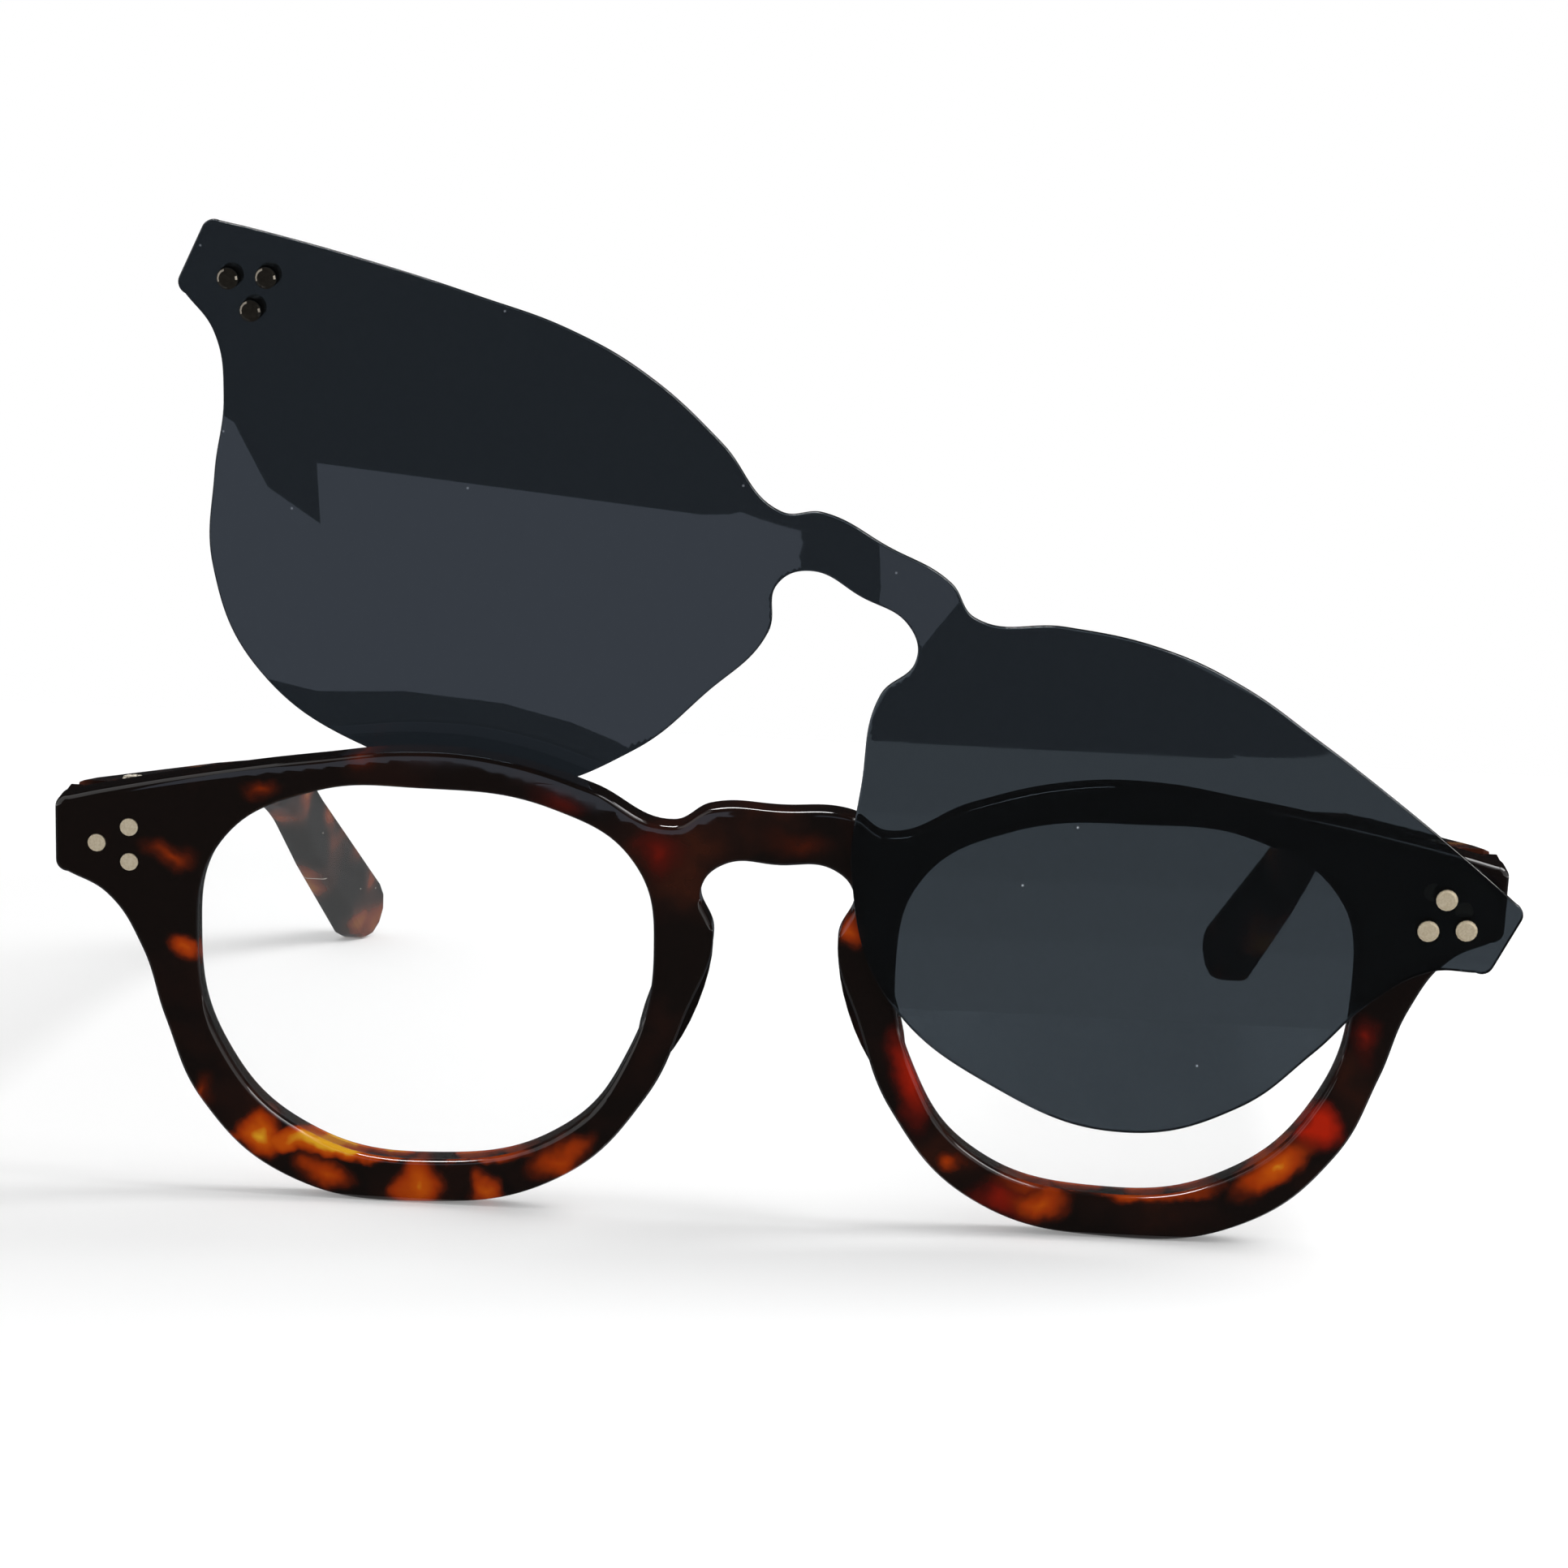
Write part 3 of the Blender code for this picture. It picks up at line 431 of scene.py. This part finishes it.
def plate_from(name, loops, thickness, bevel, bevel_steps):
    """A plate in the XZ plane, from y = 0 back to its thickness, filled between Bezier loops."""
    bpy.ops.object.select_all(action="DESELECT")
    bpy.ops.curve.primitive_bezier_circle_add()
    plate = bpy.context.object
    plate.name = name
    flat = plate.data
    flat.splines.clear()
    flat.dimensions = "2D"
    flat.fill_mode = "BOTH"
    flat.extrude = (thickness / 2 - bevel) * MM
    flat.bevel_depth = bevel * MM
    flat.bevel_resolution = bevel_steps
    flat.offset = -bevel * MM
    flat.resolution_u = CURVE_STEPS
    for loop in loops:
        spline = flat.splines.new("BEZIER")
        spline.use_cyclic_u = True
        spline.bezier_points.add(len(loop) - 1)
        for point, (x, z, is_corner) in zip(spline.bezier_points, loop):
            point.co = (x * MM, z * MM, 0)
            point.handle_left_type = "VECTOR" if is_corner else "AUTO"
            point.handle_right_type = point.handle_left_type
    plate.rotation_euler = (math.radians(90), 0, 0)
    plate.location = (0, thickness / 2 * MM, 0)
    bpy.ops.object.convert(target="MESH")
    bpy.ops.object.transform_apply(location=True, rotation=True)
    bpy.ops.object.mode_set(mode="EDIT")
    bpy.ops.mesh.select_all(action="SELECT")
    bpy.ops.mesh.remove_doubles(threshold=SAME_POINT)
    bpy.ops.mesh.dissolve_limited(angle_limit=SAME_PLANE)
    bpy.ops.mesh.normals_make_consistent(inside=False)
    bpy.ops.object.mode_set(mode="OBJECT")
    return plate


def cut(piece, tool, operation):
    """The piece with a tool cut out of it or joined to it, and the tool removed."""
    boolean = piece.modifiers.new("cut", "BOOLEAN")
    boolean.operation = operation
    boolean.object = tool
    bpy.ops.object.select_all(action="DESELECT")
    bpy.context.view_layer.objects.active = piece
    piece.select_set(True)
    bpy.ops.object.modifier_apply(modifier=boolean.name)
    bpy.data.objects.remove(tool)


def slice_across(piece, places):
    """The piece cut across X at the given places, so that it can follow a curve."""
    bpy.ops.object.select_all(action="DESELECT")
    bpy.context.view_layer.objects.active = piece
    piece.select_set(True)
    bpy.ops.object.mode_set(mode="EDIT")
    for place in places:
        bpy.ops.mesh.select_all(action="SELECT")
        bpy.ops.mesh.bisect(plane_co=(place * MM, 0, 0), plane_no=(1, 0, 0), threshold=ON_THE_CUT)
    bpy.ops.object.mode_set(mode="OBJECT")


def finish_piece(piece, placing, body):
    """The piece put in its place, with even shading on its flats, riding on its body."""
    piece.matrix_world = placing
    bpy.ops.object.select_all(action="DESELECT")
    bpy.context.view_layer.objects.active = piece
    piece.select_set(True)
    bpy.ops.object.transform_apply(location=True, rotation=True, scale=True)
    bpy.ops.object.shade_smooth_by_angle(angle=SHARP_EDGE)
    even = piece.modifiers.new("even_flats", "WEIGHTED_NORMAL")
    even.keep_sharp = True
    bpy.ops.object.modifier_apply(modifier=even.name)
    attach(piece, body)
    print(piece.name, len(piece.data.polygons), "faces")


# %% [markdown]
# ## Acetate front
#
# The real front is routed from a sheet of acetate 3.6 mm thick: outline and openings first, then a groove
# round each opening for the lens, lugs cemented on behind the end-pieces, and holes for three rivets each.
# The edges are rounded in the tumbling barrel. A bevelled Bezier plate gives the rounded edges, booleans
# give the rest, and a slight bow round the face comes last.

# %% Rivet places
RIVET_DIAMETER = 1.75
RIVET_INSET = 7.4
RIVET_DROP = 0.6
RIVET_REACH = 3.2
RIVET_SPREAD = 3.55
RIVET_X = END_X - RIVET_INSET
RIVET_Z = HINGE_Z - RIVET_DROP
RIVET_PLACES = [
    (side * (RIVET_X + reach), RIVET_Z + rise)
    for side in (-1, 1)
    for reach, rise in ((RIVET_REACH, 0), (0, RIVET_SPREAD / 2), (0, -RIVET_SPREAD / 2))
]
FIT = 0.05
BORE_SIDES = 48
BORE_LENGTH = 30


def bore(diameter, x, z):
    """A round tool along Y through a plate at a place."""
    bpy.ops.object.select_all(action="DESELECT")
    bpy.ops.mesh.primitive_cylinder_add(
        vertices=BORE_SIDES, radius=diameter / 2 * MM, depth=BORE_LENGTH * MM,
        location=(x * MM, 0, z * MM), rotation=(math.radians(90), 0, 0),
    )
    return bpy.context.object


# %% Front
GROOVE_DEPTH = 1.0
GROOVE_WIDTH = 1.5
LUG_DEPTH = 3.0
LUG_BEVEL = 0.5
LUG_INNER = 62.1
LUG_OUTER = 70.6
FRONT_BEVEL = 0.7
GROOVE_BEVEL = 0.45
FRONT_SLICE = 2
front_loops = [OUTER, opening(-1), opening(1)]
front = plate_from("acetate_front", front_loops, FRONT_THICKNESS, FRONT_BEVEL, bevel_steps=4)
for side in (-1, 1):
    low = END_LOW_Z + LUG_BEVEL
    high = END_TOP_Z - LUG_BEVEL
    corners = [(LUG_INNER, high), (LUG_OUTER, high), (LUG_OUTER, low), (LUG_INNER, low)]
    loop = [(side * x, z, True) for x, z in corners[::side]]
    lug = plate_from("lug", [loop], LUG_DEPTH + FRONT_THICKNESS / 2, LUG_BEVEL, bevel_steps=2)
    lug.location.y = FRONT_THICKNESS / 2 * MM
    cut(front, lug, "UNION")
    groove_loops = [opening(side, GROOVE_DEPTH)]
    groove = plate_from("groove", groove_loops, GROOVE_WIDTH, GROOVE_BEVEL, bevel_steps=0)
    groove.location.y = (FRONT_THICKNESS - GROOVE_WIDTH) / 2 * MM
    cut(front, groove, "DIFFERENCE")
for x, z in RIVET_PLACES:
    cut(front, bore(RIVET_DIAMETER + 2 * FIT, x, z), "DIFFERENCE")
slices = int(END_X // FRONT_SLICE)
slice_across(front, [FRONT_SLICE * i for i in range(-slices, slices + 1)])
for vertex in front.data.vertices:
    vertex.co.y += vertex.co.x ** 2 / (2 * FRONT_WRAP_RADIUS * MM)
finish_piece(front, LEANING, "frame")
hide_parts("front_frame")

# %% [markdown]
# ## Clip-on sheet
#
# The clip-on is stamped in one piece from a polarised sheet 0.8 mm thick, along the front's own outline.
# Half taken off, its bridge springs into a soft S, because one lens lies before the front and the other is
# tucked behind the brow. A thin plate is cut into fine slices through the bridge, so that the S is smooth
# in its reflections, and then turned up about the pins on the wearer's left.

# %% Sheet
SHEET_THICKNESS = 0.8
SHEET_STEP = 2.6
SHEET_TWIST = math.radians(5.0)
BEND_MIDDLE = -1.6
BEND_HALF_WIDTH = 12.3
BEND_STEPS = 60
SHEET_BEVEL = 0.15
PIN_SHANK_DIAMETER = 1.4
SHEET_STAND_OFF = 2.0
CLIP_TURN = math.radians(25.05)
CLIP_YAW = math.radians(1.3)
PIVOT = Vector((RIVET_X + RIVET_REACH / 3, -SHEET_STAND_OFF, RIVET_Z))
TURN_UP = Euler((0, CLIP_TURN, -CLIP_YAW), "ZXY").to_matrix().to_4x4()


def spring(x):
    """The share of the bridge's bend between x and the lens in front, from 0 there to 1 at the other."""
    share = (BEND_MIDDLE + BEND_HALF_WIDTH - x) / (2 * BEND_HALF_WIDTH)
    return (1 - math.cos(math.pi * min(max(share, 0), 1))) / 2


sheet_piece = plate_from("clip_sheet", [OUTER], SHEET_THICKNESS, SHEET_BEVEL, bevel_steps=2)
for x, z in RIVET_PLACES:
    cut(sheet_piece, bore(PIN_SHANK_DIAMETER + 2 * FIT, x, z), "DIFFERENCE")
bend_start = BEND_MIDDLE - BEND_HALF_WIDTH
bend_step = 2 * BEND_HALF_WIDTH / BEND_STEPS
slice_across(sheet_piece, [bend_start + bend_step * i for i in range(BEND_STEPS + 1)])
for vertex in sheet_piece.data.vertices:
    back = SHEET_STEP * MM + math.tan(SHEET_TWIST) * (PIVOT.z * MM - vertex.co.z)
    vertex.co.y += spring(vertex.co.x / MM) * back - SHEET_THICKNESS / 2 * MM
from_pins = Matrix.Translation((-PIVOT.x * MM, 0, -PIVOT.z * MM))
about_pins = Matrix.Translation(PIVOT * MM) @ TURN_UP @ from_pins
finish_piece(sheet_piece, LEANING @ about_pins, "clip_on")
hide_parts("clip_lens")


# %% [markdown]
# ## Tortoiseshell acetate
#
# Havana acetate is cut from blocks in which dark brown, red and amber plastic were kneaded together, then
# sawn, milled and tumbled to a deep polish. The colour clouds go through the whole thickness, so the
# pattern is worked out in space. The clouds that show in the photograph are placed one by one on the front,
# and a noise bends their edges and fills the rest with faint ones.
# The long amber streaks along the inner lower rims are painted glow of the light from above on their walls.


# %% Clouds of colour
CLOUD_DEPTH = 60
AMBER_CLOUDS_AND_RIM_GLOW = (
    # across, height, half length, half width in mm, turn in degrees, and strength
    (-60.2, 35.3, 3.4, 1.7, -10, 0.34), (-50.7, 42.2, 2.4, 1.4, 15, 0.30),
    (-58.3, 25.6, 1.7, 2.2, 20, 0.60), (-41.3, 45.6, 2.4, 2.0, 0, 0.25),
    (1.5, 39.3, 5.0, 2.0, 0, 0.17), (-51.0, 6.4, 3.0, 3.2, -30, 1.05),
    (-44.7, 2.6, 3.8, 2.4, -20, 0.60), (-35.1, 1.4, 3.2, 4.0, 0, 0.80),
    (-28.6, 1.6, 2.0, 3.0, 10, 0.70), (-20.7, 5.7, 5.0, 2.1, 35, 0.50),
    (-56.9, 10.2, 1.6, 3.0, -20, 0.30), (7.3, 30.4, 1.6, 2.8, 0, 0.60),
    (17.9, 7.1, 1.5, 1.5, 0, 0.45), (27.0, 3.4, 4.2, 2.4, 0, 0.65),
    # the long streaks of 18 and 14 mm half length on the inner lower rims are painted glow, not clouds
    (50.2, 8.1, 6.0, 2.6, 45, 0.85), (-39.0, 6.0, 18.0, 1.9, 0, 1.55),
    (34.0, 5.6, 14.0, 1.8, 0, 0.80),
)
RED_CLOUDS = (
    (-12.3, 37.8, 3.2, 3.4, 0, 0.40), (-22.1, 42.4, 3.6, 2.4, -25, 0.30),
    (54.0, 12.7, 3.2, 3.4, 45, 1.00), (57.9, 22.0, 2.2, 3.4, 0, 0.42),
    (13.2, 16.0, 2.6, 7.0, 12, 0.80), (24.5, 3.6, 5.4, 3.0, 0, 0.75),
)


def cloud_strength(tree, place, clouds):
    """How deep a point is in the nearest of the clouds, from 0 outside to 1 in its middle."""
    strongest = None
    for across, height, length, width, turn, strength in clouds:
        mapping = add_node(tree, "ShaderNodeMapping", {
            "vector_type": "TEXTURE",
            "Location": (across * MM, BASE_SHIFT.y * MM, height * MM),
            "Rotation": (0, math.radians(-turn), 0),
            "Scale": (length * MM, CLOUD_DEPTH * MM, width * MM),
        }, {"Vector": place})
        ball = add_node(tree, "ShaderNodeTexGradient", {"gradient_type": "SPHERICAL"}, {
            "Vector": mapping.outputs["Vector"],
        })
        cloud = add_node(tree, "ShaderNodeMath", {"operation": "MULTIPLY", 1: strength}, {
            0: ball.outputs["Fac"],
        })
        if strongest is None:
            strongest = cloud.outputs["Value"]
        else:
            both = add_node(tree, "ShaderNodeMath", {"operation": "MAXIMUM"}, {
                0: strongest, 1: cloud.outputs["Value"],
            })
            strongest = both.outputs["Value"]
    return strongest


def bent_place(tree, wave_mm, shift_mm):
    """The place in the piece, shifted by a noise, so that edges of clouds wander."""
    place = add_node(tree, "ShaderNodeTexCoord").outputs["Object"]
    waves = add_node(tree, "ShaderNodeTexNoise", {"Scale": 1 / (wave_mm * MM), "Detail": 3.0}, {
        "Vector": place,
    })
    centred = add_node(tree, "ShaderNodeVectorMath", {"operation": "SUBTRACT", 1: (0.5, 0.5, 0.5)}, {
        0: waves.outputs["Color"],
    })
    shift = add_node(tree, "ShaderNodeVectorMath", {"operation": "SCALE", "Scale": 2 * shift_mm * MM}, {
        0: centred.outputs["Vector"],
    })
    bent = add_node(tree, "ShaderNodeVectorMath", {"operation": "ADD"}, {
        0: place, 1: shift.outputs["Vector"],
    })
    return bent.outputs["Vector"]


# %% Uneven polish
def uneven(material, shader, grain_mm, low, high, stretch=(1, 1, 1)):
    """A roughness that wanders between two values in grains of a size, drawn out where asked."""
    tree = material.node_tree
    place = add_node(tree, "ShaderNodeTexCoord").outputs["Object"]
    drawn = add_node(tree, "ShaderNodeMapping", {"Scale": stretch}, {"Vector": place})
    grains = add_node(tree, "ShaderNodeTexNoise", {"Scale": 1 / (grain_mm * MM), "Detail": 2.0}, {
        "Vector": drawn.outputs["Vector"],
    })
    rough = add_node(tree, "ShaderNodeMapRange", {
        "From Min": 0.3, "From Max": 0.7, "To Min": low, "To Max": high,
    }, {"Value": grains.outputs["Fac"]})
    tree.links.new(rough.outputs["Result"], shader.inputs["Roughness"])
    return grains.outputs["Fac"]


def tinge(material, shader, grains, darker, lighter):
    """A base colour that goes from darker to lighter with the grains."""
    tree = material.node_tree
    shades = add_node(tree, "ShaderNodeValToRGB", links={"Fac": grains})
    ramp_colours(shades, ((0.35, darker), (0.65, lighter)))
    tree.links.new(shades.outputs["Color"], shader.inputs["Base Color"])


def ripple(material, shader, wave_mm, depth_mm):
    """A faint waviness that the polishing wheel leaves, seen only where a highlight breaks."""
    tree = material.node_tree
    place = add_node(tree, "ShaderNodeTexCoord").outputs["Object"]
    waves = add_node(tree, "ShaderNodeTexNoise", {"Scale": 1 / (wave_mm * MM), "Detail": 1.0}, {
        "Vector": place,
    })
    bump = add_node(tree, "ShaderNodeBump", {"Strength": 1.0, "Distance": depth_mm * MM}, {
        "Height": waves.outputs["Fac"],
    })
    tree.links.new(bump.outputs["Normal"], shader.inputs["Normal"])


# %% Dust
def dusted(tree, clean, turn, spacing_mm, radius_mm, hex_value):
    """A clean colour with specks of dust, one to a cell of a spacing, on a face that turn lays flat."""
    place = add_node(tree, "ShaderNodeTexCoord").outputs["Object"]
    plane = add_node(tree, "ShaderNodeMapping", {"Rotation": turn}, {"Vector": place})
    cells = add_node(tree, "ShaderNodeTexVoronoi", {
        "voronoi_dimensions": "2D", "Scale": 1 / (spacing_mm * MM),
    }, {"Vector": plane.outputs["Vector"]})
    specks = add_node(tree, "ShaderNodeMapRange", {
        "From Min": 0.8 * radius_mm / spacing_mm, "From Max": radius_mm / spacing_mm,
        "To Min": 1.0, "To Max": 0.0,
    }, {"Value": cells.outputs["Distance"]})
    covered = add_node(tree, "ShaderNodeMix", {"data_type": "RGBA", 6: clean, 7: colour(hex_value)}, {
        0: specks.outputs["Result"],
    })
    return covered


# %% Front acetate
# Nearly black brown with a wet shine and amber and red clouds, with painted glow on the inner lower rims
EDGE_WAVES_MM = 5.0
EDGE_SHIFT_MM = 2.4
FAINT_CLOUDS_MM = 11.0
CLOUD_EDGE = 0.3
ACETATE_IOR = 1.48
POLISH_GRAIN_MM = 6.0
acetate, acetate_shader = new_material("polished_havana_acetate", {"IOR": ACETATE_IOR})
tree = acetate.node_tree
bent = bent_place(tree, EDGE_WAVES_MM, EDGE_SHIFT_MM)
amber = cloud_strength(tree, bent, AMBER_CLOUDS_AND_RIM_GLOW)
red = cloud_strength(tree, bent, RED_CLOUDS)
faint = add_node(tree, "ShaderNodeTexNoise", {"Scale": 1 / (FAINT_CLOUDS_MM * MM), "Detail": 2.0}, {
    "Vector": bent,
})
ground = add_node(tree, "ShaderNodeValToRGB", links={"Fac": faint.outputs["Fac"]})
ramp_colours(ground, ((0.50, "110b09"), (0.62, "1d0f0b"), (0.74, "34160c")))
amber_ramp = add_node(tree, "ShaderNodeValToRGB", links={"Fac": amber})
ramp_colours(amber_ramp, (
    (0.0, "1d0c07"), (0.20, "5a1c06"), (0.42, "9c3404"), (0.72, "bd5006"), (1.0, "dba022"),
))
red_ramp = add_node(tree, "ShaderNodeValToRGB", links={"Fac": red})
ramp_colours(red_ramp, ((0.0, "170908"), (0.3, "4a0f08"), (0.8, "a81e06")))
red_edge = add_node(tree, "ShaderNodeMapRange", {"From Max": CLOUD_EDGE}, {"Value": red})
amber_edge = add_node(tree, "ShaderNodeMapRange", {"From Max": CLOUD_EDGE}, {"Value": amber})
with_red = add_node(tree, "ShaderNodeMix", {"data_type": "RGBA"}, {
    0: red_edge.outputs["Result"], 6: ground.outputs["Color"], 7: red_ramp.outputs["Color"],
})
with_amber = add_node(tree, "ShaderNodeMix", {"data_type": "RGBA"}, {
    0: amber_edge.outputs["Result"], 6: with_red.outputs[2], 7: amber_ramp.outputs["Color"],
})
tree.links.new(with_amber.outputs[2], acetate_shader.inputs["Base Color"])
uneven(acetate, acetate_shader, POLISH_GRAIN_MM, low=0.04, high=0.10)
ripple(acetate, acetate_shader, wave_mm=2.5, depth_mm=0.012)
front.data.materials.append(acetate)
dress(("front_frame", "nose_pad"), acetate)
print("acetate with", len(AMBER_CLOUDS_AND_RIM_GLOW), "amber and", len(RED_CLOUDS), "red clouds")

# %% [markdown]
# The temples come from another part of the block. They show more of the red and amber, in clouds about
# 9 mm across, under the same polish.

# %% Temple acetate
# Smoky brown with soft red and amber clouds, a shine that runs along the flat sides, and a little lint
TEMPLE_CLOUDS_MM = 9.0
LINT_SPACING_MM = 7.0
LINT_RADIUS_MM = 0.12
SIDE_LAID_FLAT = (0, math.radians(90), 0)
temple_acetate, temple_shader = new_material("polished_mottled_acetate", {"IOR": ACETATE_IOR})
tree = temple_acetate.node_tree
bent = bent_place(tree, EDGE_WAVES_MM, EDGE_SHIFT_MM / 2)
clouds = add_node(tree, "ShaderNodeTexNoise", {"Scale": 1 / (TEMPLE_CLOUDS_MM * MM), "Detail": 1.5}, {
    "Vector": bent,
})
mottled = add_node(tree, "ShaderNodeValToRGB", links={"Fac": clouds.outputs["Fac"]})
ramp_colours(mottled, ((0.44, "15100e"), (0.53, "33211c"), (0.62, "6a3524"), (0.74, "8f6230")))
handled = dusted(tree, colour("000000"), SIDE_LAID_FLAT, LINT_SPACING_MM, LINT_RADIUS_MM, "a39e97")
tree.links.new(mottled.outputs["Color"], handled.inputs[6])
tree.links.new(handled.outputs[2], temple_shader.inputs["Base Color"])
uneven(temple_acetate, temple_shader, POLISH_GRAIN_MM, low=0.06, high=0.12)
dress(("temple_right", "temple_left"), temple_acetate)

# %% [markdown]
# ## Lenses
#
# The demonstration lenses are clear moulded plastic. They are so thin and clear that only their sheen
# shows, so the shader is nearly see-through. The clip-on is a stamped sheet with a polarising film inside:
# light that passes it comes out dark blue-grey, and both its faces keep the shine of the plastic.

# %% Clear lens
# All but invisible, with a soft sheen that handling has left a little uneven
clear, clear_shader = new_material("clear_lens_plastic", {
    "Base Color": colour("eef3f3"),
    "IOR": 1.49,
    "Alpha": 0.03,
})
uneven(clear, clear_shader, grain_mm=12.0, low=0.02, high=0.06)
dress(("demo_lens",), clear)

# %% Dark sheet
# Deep blue-grey, as glossy as glass, with a few specks of dust about a quarter of a millimetre wide
SPECK_SPACING_MM = 19.0
SPECK_RADIUS_MM = 0.13
FACE_LAID_FLAT = (math.radians(90), 0, 0)
tinted, tinted_shader = new_material("polarised_grey_sheet", {
    "IOR": 1.5,
    "Transmission Weight": 1.0,
})
tree = tinted.node_tree
film = dusted(tree, colour("383f45"), FACE_LAID_FLAT, SPECK_SPACING_MM, SPECK_RADIUS_MM, "b9bdc2")
tree.links.new(film.outputs[2], tinted_shader.inputs["Base Color"])
uneven(tinted, tinted_shader, grain_mm=9.0, low=0.01, high=0.03)
sheet_piece.data.materials.append(tinted)
dress(("clip_lens",), tinted)

# %% [markdown]
# ## Metals
#
# The rivets and the pins that touch them are turned from nickel silver and left with a satin face, which
# looks pale and warm. The pins at the clip-on's free end are polished, so they show the dark room with a
# bright rim, and their colour is darkened as painted shade. The hinges are milled, the core wire is drawn,
# and the magnets have a nickel coat.

# %% Satin rivets and pins
# Pale warm satin: a fine turned grain scatters the light like a matt coat
rivet_metal, rivet_shader = new_material("turned_nickel_silver", {"Metallic": 0.4})
turning = uneven(rivet_metal, rivet_shader, grain_mm=0.2, low=0.42, high=0.58)
tinge(rivet_metal, rivet_shader, turning, "cdbd9f", "dccfb6")
dress(("front_rivet", "clip_pin_left"), rivet_metal)

# %% Polished pins
# A mirror whose colour is darkened below the metal's own as painted shade, with a bright chamfer
polished_metal, polished_shader = new_material("polished_nickel_silver_painted_dark", {"Metallic": 1.0})
polish = uneven(polished_metal, polished_shader, grain_mm=0.5, low=0.03, high=0.08)
tinge(polished_metal, polished_shader, polish, "79736a", "8d867b")
dress(("clip_pin_right",), polished_metal)

# %% Hinges
# Grey-white metal with fine milling lines along its height
hinge_metal, hinge_shader = new_material("milled_nickel_silver", {"Metallic": 1.0})
milling = uneven(hinge_metal, hinge_shader, grain_mm=0.25, low=0.2, high=0.4, stretch=(1, 1, 0.1))
tinge(hinge_metal, hinge_shader, milling, "b7b0a2", "cfc8ba")
dress(("front_hinge", "hinge_screw", "temple_hinge"), hinge_metal)

# %% Core wire
# A duller grey, with the streaks of the drawing die along the wire
wire_metal, wire_shader = new_material("drawn_nickel_silver_wire", {"Metallic": 1.0})
streaks = uneven(wire_metal, wire_shader, grain_mm=0.3, low=0.28, high=0.45, stretch=(1, 0.06, 1))
tinge(wire_metal, wire_shader, streaks, "a39c8d", "bab3a4")
dress(("temple_core",), wire_metal)

# %% Magnets
# A smooth, slightly cloudy nickel coat
magnet_metal, magnet_shader = new_material("nickel_coated_magnet", {"Metallic": 1.0})
coat = uneven(magnet_metal, magnet_shader, grain_mm=0.8, low=0.12, high=0.26)
tinge(magnet_metal, magnet_shader, coat, "a8a49c", "bbb7b0")
dress(("clip_magnet",), magnet_metal)
